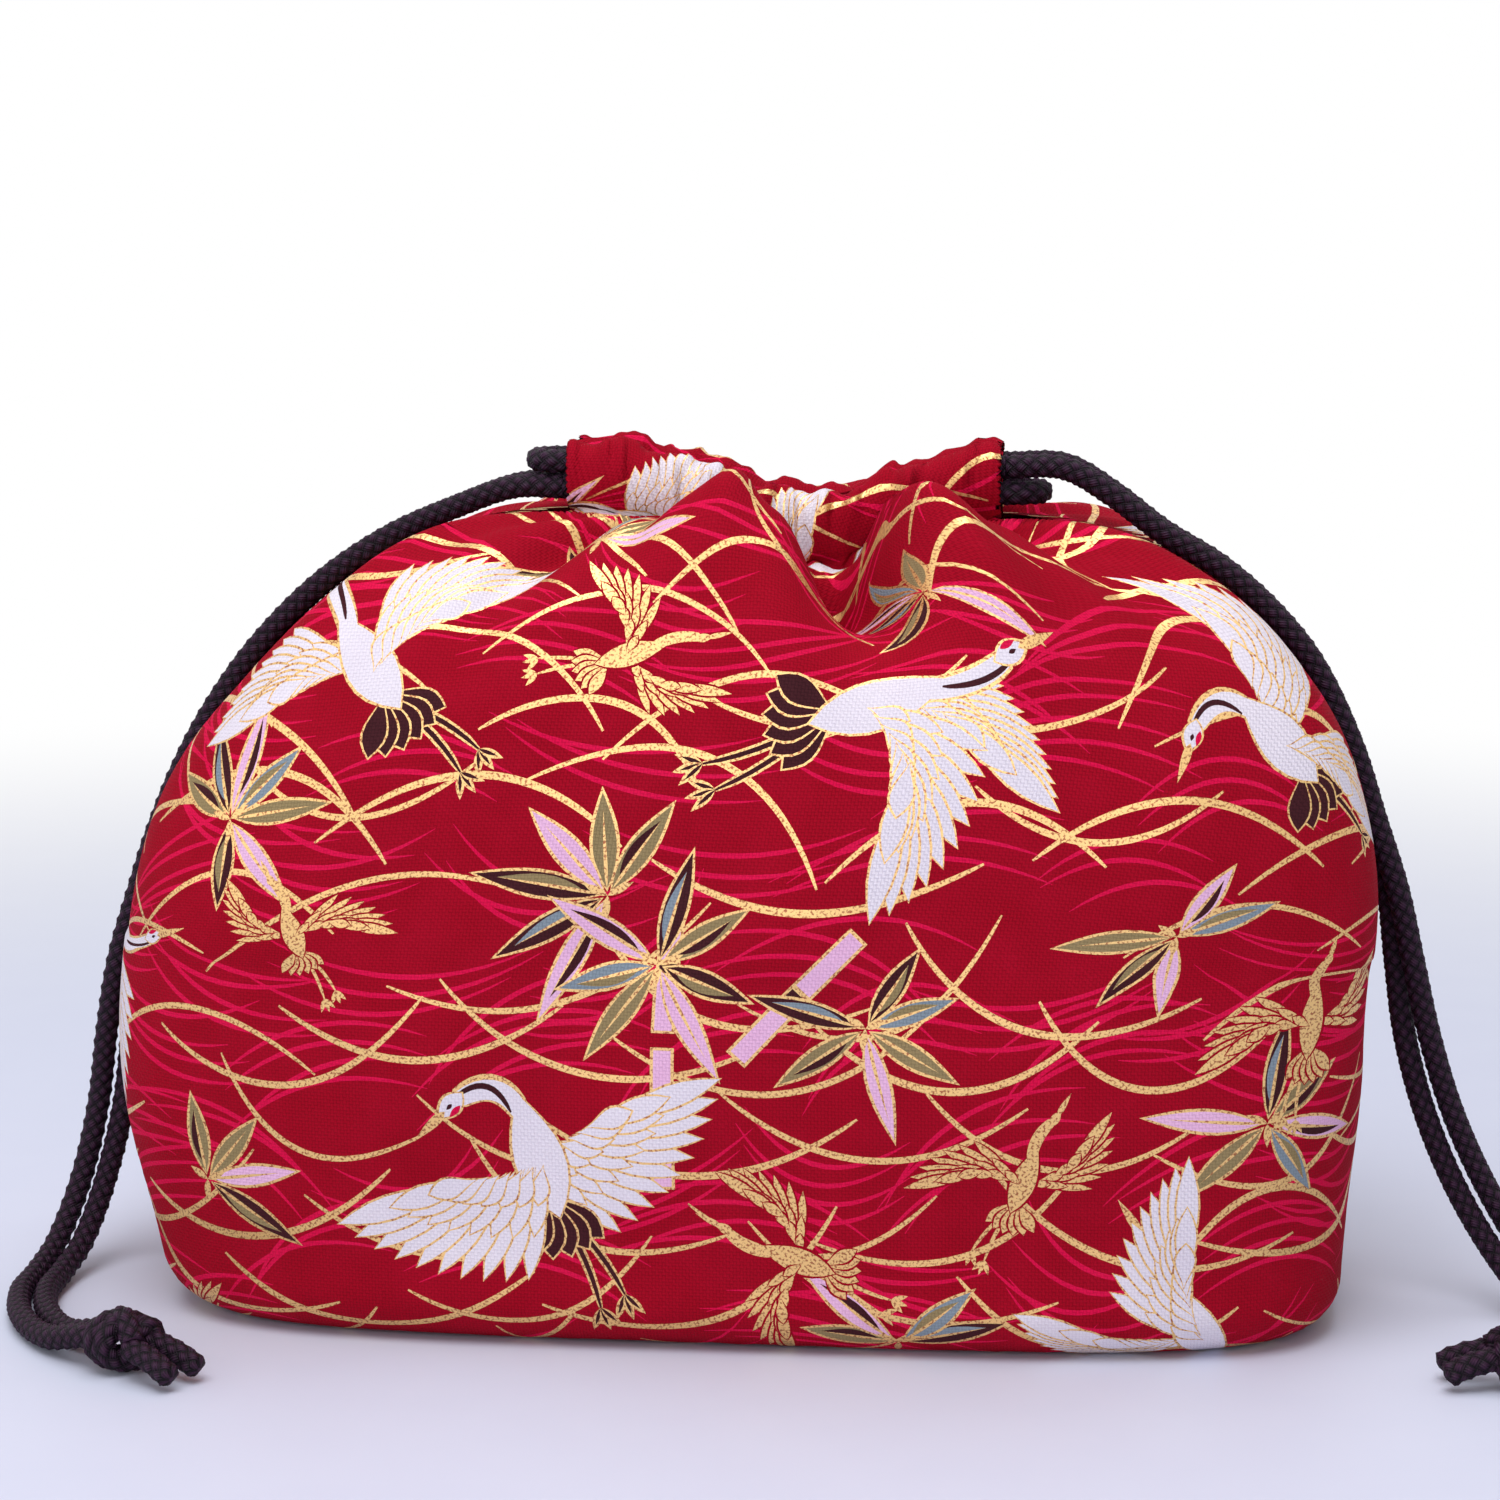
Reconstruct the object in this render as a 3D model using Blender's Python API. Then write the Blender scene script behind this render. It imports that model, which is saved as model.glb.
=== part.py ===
"""A drawstring lunch bag, standing drawn closed, as a solid model.

Two sheets of printed cotton, one in front and one behind, are sewn together along the sides and along
the middle of the base. Each sheet ends at the top in a folded hem, the casing. Two round cords are
threaded through both casings from opposite sides, and each is knotted where its two ends meet.
Sizes are in metres, with +Z up, -Y to the front, and the origin on the ground under the middle of the bag.
"""

import math

import bmesh
import bpy
from mathutils import Matrix, Vector
from mathutils.geometry import interpolate_bezier

MM = 0.001

# The cloth and the gap that sewn or touching pieces keep
CLOTH = 1.2 * MM
SEAM_GAP = 0.5 * MM

# The filled body, outside, and how far its foot stands to the left of the middle of the bag
BODY_WIDTH = 260 * MM
BODY_DEPTH = 112 * MM
BULGE = 4 * MM
EDGE_RADIUS = 11 * MM
SHOULDER_HEIGHT = 80 * MM
OUTLINE_POWER = 4.0
BASE_SEAM_SHARE = 0.93
FOOT_OFFSET = 0.7 * MM
LEAN_START = 60 * MM

# The roof, where the cloth turns in over the contents: fullest in front, and flatter at its right side.
# The reach is the share of the sheet, in from a seam, over which it fills out
ROOF_HEIGHT = 172 * MM
LEFT_FULLNESS = 2.0
RIGHT_FULLNESS = 1.9
FRONT_FULLNESS = 2.6
FULLNESS_REACH = 0.4

# The drawn mouth, where the roof meets the casings: a long ring that dips above the deep front fold
MOUTH_LENGTH = 92 * MM
MOUTH_OFFSET = 9 * MM
MOUTH_HEIGHT = 159 * MM
MOUTH_DIP = 11 * MM
DIP_PLACE = 0.06
DIP_HALF_WIDTH = 0.27
MOUTH_HALF_GAP = 10 * MM
MOUTH_END_HALF_GAP = 6.6 * MM
SLIT_START = 0.72
SLIT_SHARE = 0.06

# The casing, a folded hem that stands on the mouth
CASING_HEIGHT = 16 * MM
CASING_WIDTH = 9.8 * MM
STITCH_STEP = 2.2 * MM

# The gathers, and the large folds of each sheet: place across the sheet (-0.5 to 0.5), half-width
# in the same share, height (negative for a valley) and place up the roof (0 shoulder, 1 mouth)
GATHERS = 9
GATHER_DRIFT = 0.7
GATHER_DEPTH = 2.1 * MM
RUFFLE_DEPTH = 2.6 * MM
FRONT_FOLDS = (
    (0.075, 0.045, -26.0 * MM, 0.80),
    (-0.040, 0.080, 8.0 * MM, 0.78),
    (0.180, 0.060, 8.5 * MM, 0.76),
    (-0.215, 0.035, -5.5 * MM, 0.80),
    (0.300, 0.032, -5.0 * MM, 0.76),
    (-0.330, 0.060, 3.5 * MM, 0.66),
    (0.400, 0.050, 3.0 * MM, 0.66),
)
BACK_FOLDS = (
    (-0.110, 0.048, -15.0 * MM, 0.80),
    (0.050, 0.100, 6.0 * MM, 0.74),
    (-0.250, 0.065, 6.5 * MM, 0.72),
    (0.215, 0.034, -5.5 * MM, 0.78),
    (0.330, 0.065, 5.0 * MM, 0.66),
)
FOLD_REACH = 0.27
SIDE_GROOVE = 3.2 * MM
SIDE_GROOVE_SHARE = 0.06
GROOVE_START = 52 * MM

# The drawcords: the left cord runs low in both casings, and the right cord above it
CORD_DIAMETER = 5.0 * MM
CORD_GAP = 0.5 * MM
PIECE_GAP = 0.45 * MM
CORD_EXIT = 1.0 * MM
CORD_STEP = 2.5 * CORD_DIAMETER
CORD_RESOLUTION = 2
CURVE_STEPS = 12
CASING_STEPS = 9
TURN_STEPS = 6

# Each free pair of strands, from where it has left the casings to its knot: the middle of the pair,
# and how far the front strand lies from it; the back strand lies as far the other way
LEFT_ROUTE = (
    ((-49.0, 0.0, 175.0), (0.0, -6.2)),
    ((-61.8, 0.0, 170.6), (0.0, -4.8)),
    ((-76.7, 0.0, 164.1), (0.0, -3.6)),
    ((-92.3, 0.0, 153.7), (0.0, -2.9)),
    ((-106.3, 0.0, 139.9), (0.0, -2.8)),
    ((-116.8, 0.0, 125.6), (0.0, -2.8)),
    ((-124.3, 0.0, 112.0), (0.0, -2.8)),
    ((-129.9, 0.0, 98.0), (-0.3, -2.8)),
    ((-133.8, 0.0, 85.0), (-0.9, -2.65)),
    ((-138.0, 0.0, 69.0), (-1.8, -2.2)),
    ((-140.4, -0.3, 53.0), (-2.5, -1.3)),
    ((-142.5, -1.0, 36.5), (-2.8, -0.3)),
    ((-146.0, -4.0, 20.0), (-2.8, 0.0)),
    ((-149.4, -11.5, 7.6), (-2.9, 0.0)),
    ((-151.0, -22.0, 3.4), (-2.8, 0.0)),
    ((-150.4, -36.0, 2.9), (-2.8, -0.2)),
    ((-145.0, -52.0, 2.9), (-2.5, -1.3)),
    ((-136.0, -65.0, 3.4), (-1.9, -2.1)),
)
RIGHT_ROUTE = (
    ((68.0, 0.0, 179.8), (0.0, -6.2)),
    ((78.4, 0.0, 174.0), (0.0, -5.1)),
    ((88.9, 0.0, 166.2), (0.0, -3.9)),
    ((101.3, 0.0, 158.7), (0.0, -3.1)),
    ((112.2, 0.0, 149.3), (0.0, -2.8)),
    ((121.3, 0.0, 138.1), (0.0, -2.8)),
    ((129.5, 0.0, 121.4), (0.0, -2.8)),
    ((134.6, 0.0, 105.6), (0.2, -2.8)),
    ((138.9, 0.0, 90.5), (0.9, -2.65)),
    ((141.8, 0.0, 74.5), (1.8, -2.2)),
    ((145.0, -0.3, 58.0), (2.6, -1.3)),
    ((150.0, -1.0, 41.5), (3.0, -0.3)),
    ((157.0, -3.0, 26.0), (3.3, 0.0)),
    ((165.5, -8.0, 12.5), (3.4, 0.0)),
    ((173.0, -16.5, 4.6), (3.2, 0.0)),
    ((179.0, -28.0, 2.9), (3.3, -0.3)),
    ((181.2, -40.0, 2.9), (3.4, -0.6)),
    ((177.4, -50.6, 3.8), (2.6, -2.2)),
)

# The knots: the middle of each, the direction that its tails point in, and the sizes that both share
KNOT_LENGTH = 11 * MM
KNOT_WIDTH = 14 * MM
KNOT_HEIGHT = 12 * MM
KNOT_WRAPS = 2
KNOT_RIDGE = 0.09
KNOT_RINGS = 10
KNOT_SIDES = 14
KNOT_SPREAD = 2.9 * MM
KNOT_APPROACH = 3.0 * MM
TAIL_OPENING = 0.3
LEFT_KNOT = ((-118.6, -77.4, 6.5), -32)
RIGHT_KNOT = ((162.4, -57.0, 6.5), 186)
TAIL_STEPS = 4
LEFT_TAIL = 12 * MM
RIGHT_TAIL = 10 * MM

# How finely the sheets are divided
COLUMNS = 44
BASE_ROWS = 2
EDGE_ROWS = 3
WALL_ROWS = 4
ROOF_ROWS = 12
CASING_ROWS = 9
CASING_START = math.radians(-58)
CASING_END = math.radians(268)

RED = (0.36, 0.004, 0.014, 1.0)
BLACK = (0.021, 0.017, 0.025, 1.0)


def smooth(t):
    """0 below 0, 1 above 1, and an even S between them."""
    t = min(1.0, max(0.0, t))
    return t * t * (3.0 - 2.0 * t)


def hump(offset, half_width):
    """1 at no offset, falling smoothly to 0 at about two half-widths."""
    return math.exp(-((offset / half_width) ** 2))


def superellipse(angle, power):
    """A point of the unit outline, as (across, towards the panel's own side)."""
    across = math.copysign(abs(math.cos(angle)) ** (2.0 / power), math.cos(angle))
    return across, abs(math.sin(angle)) ** (2.0 / power)


def even_outline(columns):
    """Unit outline points of one half of the body, evenly spaced along the sewn cloth."""
    steps = 900
    half_width, half_depth = BODY_WIDTH / 2, BODY_DEPTH / 2
    fine = [superellipse(math.pi * (1.0 - i / steps), OUTLINE_POWER) for i in range(steps + 1)]
    lengths = [0.0]
    for (x0, y0), (x1, y1) in zip(fine, fine[1:]):
        step = math.hypot((x1 - x0) * half_width, (y1 - y0) * half_depth)
        lengths.append(lengths[-1] + step)
    points, at = [], 0
    for column in range(columns + 1):
        target = lengths[-1] * column / columns
        while at < steps - 1 and lengths[at + 1] < target:
            at += 1
        span = lengths[at + 1] - lengths[at]
        share = min(1.0, (target - lengths[at]) / span)
        (x0, y0), (x1, y1) = fine[at], fine[at + 1]
        points.append((x0 + (x1 - x0) * share, max(0.0, y0 + (y1 - y0) * share)))
    points[0], points[-1] = (-1.0, 0.0), (1.0, 0.0)
    return points


OUTLINE = even_outline(COLUMNS)


def place_across(column):
    """Where a column is across its sheet, from -0.5 at the left seam to 0.5 at the right."""
    return column / COLUMNS - 0.5


def outline_normal(column):
    """The outward direction in plan at a column of the body's outline."""
    across, deep = OUTLINE[column]
    power = OUTLINE_POWER - 1.0
    normal = Vector(
        (
            math.copysign(abs(across) ** power, across) / BODY_WIDTH,
            deep**power / BODY_DEPTH,
            0.0,
        )
    )
    return normal.normalized()


def body_outline(column, inset=0.0, bulge=0.0):
    """A point of the body's plan, as (x, distance from the middle plane)."""
    across, deep = OUTLINE[column]
    return Vector(
        (
            across * (BODY_WIDTH / 2 - inset + bulge),
            deep * (BODY_DEPTH / 2 - inset + bulge),
            0.0,
        )
    )


def mouth_point(across):
    """The foot of the casing at a place across the sheet, as (x, distance from the middle plane, z)."""
    bow = (MOUTH_HALF_GAP - MOUTH_END_HALF_GAP) * (1.0 - (2.0 * across) ** 2)
    rise = MOUTH_DIP * (1.0 - hump(across - DIP_PLACE, DIP_HALF_WIDTH))
    return Vector((across * MOUTH_LENGTH, MOUTH_END_HALF_GAP + bow, MOUTH_HEIGHT + rise))


def lean(height):
    """How far the bag stands to its right at a height, measured from the middle of the whole bag."""
    share = smooth((height - LEAN_START) / (MOUTH_HEIGHT - LEAN_START))
    return (MOUTH_OFFSET + FOOT_OFFSET) * share - FOOT_OFFSET


def side_groove(across, height):
    """How far the side seam is drawn in, where the cords lie along it."""
    share = smooth((height - GROOVE_START) / (SHOULDER_HEIGHT - GROOVE_START))
    return SIDE_GROOVE * share * hump(0.5 - abs(across), SIDE_GROOVE_SHARE)


def large_folds(across, height_share, folds):
    """How far the large folds push the roof out, or pull it in."""
    total = 0.0
    for place, half_width, height, peak in folds:
        level = hump(height_share - peak, FOLD_REACH)
        total += height * level * hump(across - place, half_width)
    fade_at_foot = 1.0 - smooth((height_share - 0.84) / 0.16)
    fade_at_shoulder = smooth(height_share / 0.18)
    return total * fade_at_foot * fade_at_shoulder


def pleat_wave(across):
    """The uneven wave of the gathers along a sheet, from -1 to 1."""
    drift = GATHER_DRIFT * math.sin(2.0 * math.pi * 2.4 * across)
    return math.cos(2.0 * math.pi * GATHERS * across + drift)


def gathers(across, height_share):
    """The small pleats that the drawn cord makes, deepest at the mouth."""
    towards_seam = smooth((0.5 - abs(across)) / 0.06)
    return GATHER_DEPTH * smooth((height_share - 0.5) / 0.4) * pleat_wave(across) * towards_seam


def base_point(column, share):
    """The base, ruled from the seam along its middle to the foot of the wall."""
    half_seam = BASE_SEAM_SHARE * (BODY_WIDTH / 2 - EDGE_RADIUS)
    seam = Vector((2.0 * place_across(column) * half_seam, 0.0, 0.0))
    return seam.lerp(body_outline(column, EDGE_RADIUS), share)


def edge_point(column, share):
    """The soft edge between base and wall."""
    angle = share * math.pi / 2
    point = body_outline(column, EDGE_RADIUS * (1.0 - math.sin(angle)))
    point.z = EDGE_RADIUS * (1.0 - math.cos(angle))
    return point


def wall_bulge(height):
    """How far the filled wall swells outward at a height."""
    share = (height - EDGE_RADIUS) / (SHOULDER_HEIGHT - EDGE_RADIUS)
    return BULGE * math.sin(math.pi / 2 * smooth(share))


def wall_point(column, share):
    """The upright wall."""
    height = EDGE_RADIUS + (SHOULDER_HEIGHT - EDGE_RADIUS) * share
    point = body_outline(column, bulge=wall_bulge(height))
    across = place_across(column)
    point.x -= math.copysign(side_groove(across, height), across)
    point.z = height
    return point


def roof_point(column, share, folds):
    """The roof: each thread leans in from the shoulder to the mouth, then drops to the stitches."""
    across = place_across(column)
    shoulder, mouth = wall_point(column, 1.0), mouth_point(across)
    mouth.y += STITCH_STEP
    at_seam = LEFT_FULLNESS if across < 0 else RIGHT_FULLNESS
    fullness = at_seam + (FRONT_FULLNESS - at_seam) * smooth((0.5 - abs(across)) / FULLNESS_REACH)
    angle = share * math.pi / 2
    inward = 1.0 - math.cos(angle) ** (2.0 / fullness)
    point = shoulder.lerp(mouth, inward)
    still_sewn = 1.0 - smooth((share - SLIT_START) / (1.0 - SLIT_START))
    point.y -= mouth.y * inward * still_sewn * hump(0.5 - abs(across), SLIT_SHARE)
    billow = (ROOF_HEIGHT - SHOULDER_HEIGHT) * math.sin(angle) ** (2.0 / fullness)
    point.z = SHOULDER_HEIGHT + billow + (mouth.z - ROOF_HEIGHT) * smooth((share - 0.66) / 0.34)
    direction = outline_normal(column) * math.cos(angle) + Vector((0.0, 0.0, math.sin(angle)))
    push = large_folds(across, share, folds) + gathers(across, share)
    return point + direction * push


def casing_point(column, share):
    """The folded hem: up the outer face, over the cords and down to the stitches."""
    across = place_across(column)
    angle = CASING_START + (CASING_END - CASING_START) * share
    outer_share = 0.5 + 0.5 * math.cos(angle)
    up_share = max(0.0, math.sin(angle))
    wave = (0.5 - 0.5 * pleat_wave(across)) ** 1.4
    ruffle = RUFFLE_DEPTH * wave * math.sin(math.pi * share)
    out = CASING_WIDTH / 2 * math.cos(angle) + ruffle * outer_share
    up = CASING_HEIGHT / 2 * (1.0 + math.sin(angle)) + ruffle * up_share
    return mouth_point(across) + Vector((0.0, out, up))


def sheet_rows(folds):
    """The rows of one cloth sheet, from the seam under the base to the hem's sewn edge."""
    stretches = (
        (BASE_ROWS, base_point),
        (EDGE_ROWS, edge_point),
        (WALL_ROWS, wall_point),
        (ROOF_ROWS, lambda column, share: roof_point(column, share, folds)),
        (CASING_ROWS, casing_point),
    )
    rows = [[base_point(column, 0.0) for column in range(COLUMNS + 1)]]
    for count, point_at in stretches:
        first = 0 if point_at is casing_point else 1
        for i in range(first, count + 1):
            rows.append([point_at(column, i / count) for column in range(COLUMNS + 1)])
    return rows


def material(name, colour, roughness):
    """A plain material of one colour."""
    made = bpy.data.materials.new(name)
    made.use_nodes = True
    shader = made.node_tree.nodes["Principled BSDF"]
    shader.inputs["Base Color"].default_value = colour
    shader.inputs["Roughness"].default_value = roughness
    return made


def link(name, data, finish):
    """Puts a mesh or curve in the scene as a named object."""
    made = bpy.data.objects.new(name, data)
    made.data.materials.append(finish)
    bpy.context.scene.collection.objects.link(made)
    return made


def cloth_panel(name, folds, side, finish):
    """One sheet of cloth as a grid with thickness. side is -1 in front and 1 behind."""
    mesh = bmesh.new()
    grid = []
    for row in sheet_rows(folds):
        places = [(p.x + lean(p.z), side * (SEAM_GAP / 2 + p.y), p.z) for p in row]
        grid.append([mesh.verts.new(place) for place in places])
    for low, high in zip(grid, grid[1:]):
        for column in range(COLUMNS):
            corners = [low[column], low[column + 1], high[column + 1], high[column]]
            mesh.faces.new(corners if side < 0 else corners[::-1])
    data = bpy.data.meshes.new(name)
    mesh.to_mesh(data)
    mesh.free()
    data.shade_smooth()
    panel = link(name, data, finish)
    thickness = panel.modifiers.new("Cloth thickness", "SOLIDIFY")
    thickness.thickness = CLOTH
    thickness.offset = -1.0
    return panel


def even_steps(points, spacing):
    """The same line with its points evenly spaced."""
    lengths = [0.0]
    for start, end in zip(points, points[1:]):
        lengths.append(lengths[-1] + (end - start).length)
    count = max(2, round(lengths[-1] / spacing))
    spots, at = [], 0
    for i in range(count + 1):
        target = lengths[-1] * i / count
        while at < len(points) - 2 and lengths[at + 1] < target:
            at += 1
        share = (target - lengths[at]) / (lengths[at + 1] - lengths[at])
        spots.append(points[at].lerp(points[at + 1], min(1.0, share)))
    return spots


def smooth_line(route, spacing):
    """Evenly spaced points of a smooth curve through a route's own points."""
    fine = []
    for i in range(len(route) - 1):
        start, end = route[i], route[i + 1]
        before, after = route[max(i - 1, 0)], route[min(i + 2, len(route) - 1)]
        handle = (end - start).length / 3
        leave = start + (end - before).normalized() * handle
        arrive = end - (after - start).normalized() * handle
        fine += interpolate_bezier(start, leave, arrive, end, CURVE_STEPS)[:-1]
    fine.append(route[-1])
    return even_steps(fine, spacing)


def cord_tube(name, points, finish):
    """A stretch of round cord along a line."""
    data = bpy.data.curves.new(name, "CURVE")
    data.dimensions = "3D"
    data.bevel_depth = CORD_DIAMETER / 2
    data.bevel_resolution = CORD_RESOLUTION
    data.use_fill_caps = True
    spline = data.splines.new("POLY")
    spline.points.add(len(points) - 1)
    for spot, point in zip(spline.points, points):
        spot.co = (*point, 1.0)
    spline.use_smooth = True
    return link(name, data, finish)


def casing_line(side, level):
    """A cord's centre line inside one casing, from the left end to the right, at a level in the channel."""
    points = []
    for step in range(CASING_STEPS + 1):
        across = step / CASING_STEPS - 0.5
        foot, ahead = mouth_point(across), mouth_point(across + 0.01)
        along = Vector((ahead.x - foot.x, 0.0, ahead.z - foot.z)).normalized()
        middle = foot + Vector((MOUTH_OFFSET, 0.0, CASING_HEIGHT / 2))
        middle += Vector((-along.z, 0.0, along.x)) * level
        points.append(Vector((middle.x, side * (SEAM_GAP / 2 + middle.y), middle.z)))
    return points


def casing_exit(end, side, level):
    """Where a cord has just left a casing. end is -1 at the left and 1 at the right."""
    last = casing_line(side, level)[0 if end < 0 else -1]
    return last + Vector((end * CORD_EXIT, 0.0, 0.0))


def held_cord(name, end, level, finish):
    """The stretch of a cord that the casings hold. It enters at one end and turns back beyond the other."""
    front, back = casing_line(-1, level), casing_line(1, level)
    if end > 0:
        front.reverse()
        back.reverse()
    turn_from = casing_exit(-end, -1, level)
    radius = -turn_from.y
    turn = []
    for step in range(1, TURN_STEPS):
        angle = math.pi * step / TURN_STEPS
        reach = Vector((-end * radius * math.sin(angle), -radius * math.cos(angle), 0.0))
        turn.append(Vector((turn_from.x, 0.0, turn_from.z)) + reach)
    entry, leave = casing_exit(end, -1, level), casing_exit(end, 1, level)
    line = [entry, *front, turn_from, *turn, casing_exit(-end, 1, level), *back[::-1], leave]
    return cord_tube(name, line, finish)


def beside_knot(place, heading, along, across, drop=0.0):
    """A point by a knot: along the way its tails point, across it, and down from its middle."""
    turn = Matrix.Rotation(math.radians(heading), 3, "Z")
    return Vector(place) * MM + turn @ Vector((along, across, -drop))


def free_strand(name, end, side, level, route, tied, finish):
    """One of the two strands that hang from a side of the bag, from its casing to the knot."""
    points = [casing_exit(end, side, level) + Vector((end * PIECE_GAP, 0.0, 0.0))]
    for (x, y, z), (spread_x, spread_y) in route:
        points.append(Vector((x - side * spread_x, y - side * spread_y, z)) * MM)
    entry, across = -KNOT_LENGTH / 2 - PIECE_GAP, -end * side * KNOT_SPREAD
    points.append(beside_knot(*tied, entry - KNOT_APPROACH, across))
    line = smooth_line(points, CORD_STEP) + [beside_knot(*tied, entry, across)]
    return cord_tube(name, line, finish)


def knot(name, place, heading, finish):
    """The outside of an overhand knot tied in both strands: a short lump with slanting wraps."""
    mesh = bmesh.new()
    poles, rings = [], []
    for ring in range(KNOT_RINGS + 1):
        share = ring / KNOT_RINGS
        along = -KNOT_LENGTH / 2 * math.cos(math.pi * share)
        girth = math.sin(math.pi * share) ** 0.6 if 0 < ring < KNOT_RINGS else 0.0
        if girth == 0.0:
            poles.append(mesh.verts.new(beside_knot(place, heading, along, 0.0)))
            continue
        spots = []
        for step in range(KNOT_SIDES):
            angle = 2.0 * math.pi * step / KNOT_SIDES
            wrap = 1.0 + KNOT_RIDGE * math.cos(angle + 2.0 * math.pi * KNOT_WRAPS * share)
            across = KNOT_WIDTH / 2 * girth * wrap * math.cos(angle)
            up = KNOT_HEIGHT / 2 * girth * wrap * math.sin(angle)
            spots.append(mesh.verts.new(beside_knot(place, heading, along, across, -up)))
        rings.append(spots)
    for low, high in zip(rings, rings[1:]):
        for step in range(KNOT_SIDES):
            after = (step + 1) % KNOT_SIDES
            mesh.faces.new((low[step], low[after], high[after], high[step]))
    for step in range(KNOT_SIDES):
        after = (step + 1) % KNOT_SIDES
        mesh.faces.new((poles[0], rings[0][after], rings[0][step]))
        mesh.faces.new((poles[1], rings[-1][step], rings[-1][after]))
    data = bpy.data.meshes.new(name)
    mesh.to_mesh(data)
    mesh.free()
    data.shade_smooth()
    return link(name, data, finish)


def tail(name, place, heading, length, side, finish):
    """A short cut end of cord beyond the knot, which droops to the ground."""
    points = []
    for step in range(TAIL_STEPS + 1):
        share = step / TAIL_STEPS
        along = KNOT_LENGTH / 2 + PIECE_GAP + length * share
        across = side * KNOT_SPREAD * (1.0 + TAIL_OPENING * share)
        drop = (KNOT_HEIGHT / 2 - CORD_DIAMETER / 2) * share**2
        points.append(beside_knot(place, heading, along, across, drop))
    return cord_tube(name, points, finish)


def main():
    for old in list(bpy.data.objects):
        bpy.data.objects.remove(old)
    cotton = material("printed cotton", RED, 0.8)
    braid = material("braided polyester", BLACK, 0.6)
    cloth_panel("front_panel", FRONT_FOLDS, -1, cotton)
    cloth_panel("back_panel", BACK_FOLDS, 1, cotton)
    level = (CORD_DIAMETER + CORD_GAP) / 2
    held_cord("left_cord_loop", -1, -level, braid)
    held_cord("right_cord_loop", 1, level, braid)
    for side, side_name in ((-1, "front"), (1, "back")):
        free_strand(f"left_strand_{side_name}", -1, side, -level, LEFT_ROUTE, LEFT_KNOT, braid)
        free_strand(f"right_strand_{side_name}", 1, side, level, RIGHT_ROUTE, RIGHT_KNOT, braid)
        tail(f"left_tail_{side_name}", *LEFT_KNOT, LEFT_TAIL, side, braid)
        tail(f"right_tail_{side_name}", *RIGHT_KNOT, RIGHT_TAIL, side, braid)
    knot("left_knot", *LEFT_KNOT, braid)
    knot("right_knot", *RIGHT_KNOT, braid)


main()
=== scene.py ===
# %% [markdown]
# # A drawstring lunch bag in printed cotton
# The real object is a small gathered bag of red cotton. Two black cords run through a hem at its top,
# from opposite sides, and draw it closed. Everything is built over a fixed CAD model in the same place
# and size, so the first step loads that model.

# %% Load the fixed frame
import math
import random

import bpy
import numpy as np
from mathutils import Matrix, Vector
from mathutils.bvhtree import BVHTree
from mathutils.geometry import delaunay_2d_cdt, interpolate_bezier


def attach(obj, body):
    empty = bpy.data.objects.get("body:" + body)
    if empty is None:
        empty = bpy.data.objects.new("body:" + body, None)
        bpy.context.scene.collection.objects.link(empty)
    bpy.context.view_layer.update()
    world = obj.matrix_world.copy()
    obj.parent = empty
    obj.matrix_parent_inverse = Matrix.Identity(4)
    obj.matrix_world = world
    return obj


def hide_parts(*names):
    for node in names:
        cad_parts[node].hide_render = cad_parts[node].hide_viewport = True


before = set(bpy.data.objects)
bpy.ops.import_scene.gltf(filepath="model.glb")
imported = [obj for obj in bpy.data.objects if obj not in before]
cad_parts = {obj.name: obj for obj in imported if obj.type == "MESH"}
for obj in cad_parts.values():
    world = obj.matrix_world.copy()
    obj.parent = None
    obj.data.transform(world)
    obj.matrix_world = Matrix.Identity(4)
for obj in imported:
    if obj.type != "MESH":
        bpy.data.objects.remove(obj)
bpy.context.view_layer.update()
MM = 0.001
print("nodes:", ", ".join(sorted(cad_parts)))


def add_object(name, data):
    made = bpy.data.objects.new(name, data)
    bpy.context.scene.collection.objects.link(made)
    return made


# %% [markdown]
# ## The camera
# A camera could be dragged about until the view looks right. Here it is worked out from the angle at
# which the bag was seen, a little from its right and from above, with a lens of moderate length, which
# keeps the near and far parts of the bag in natural proportion.

# %% Place the camera
LENS, SENSOR = 85.0, 36.0
AZIMUTH, ELEVATION = math.radians(6.0), math.radians(8.5)
DISTANCE = 766.0
TARGET = Vector((1.0, 0.0, 118.0))

flat = math.cos(ELEVATION)
towards_eye = Vector((math.sin(AZIMUTH) * flat, -math.cos(AZIMUTH) * flat, math.sin(ELEVATION)))
camera_data = bpy.data.cameras.new("camera")
camera_data.lens = LENS
camera_data.sensor_width = SENSOR
camera_data.clip_start = 0.05
camera = add_object("camera", camera_data)
camera.location = (TARGET + towards_eye * DISTANCE) * MM
camera.rotation_euler = (-towards_eye).to_track_quat("-Z", "Y").to_euler()
bpy.context.scene.camera = camera
print("camera at", [round(x, 3) for x in camera.location])
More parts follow.
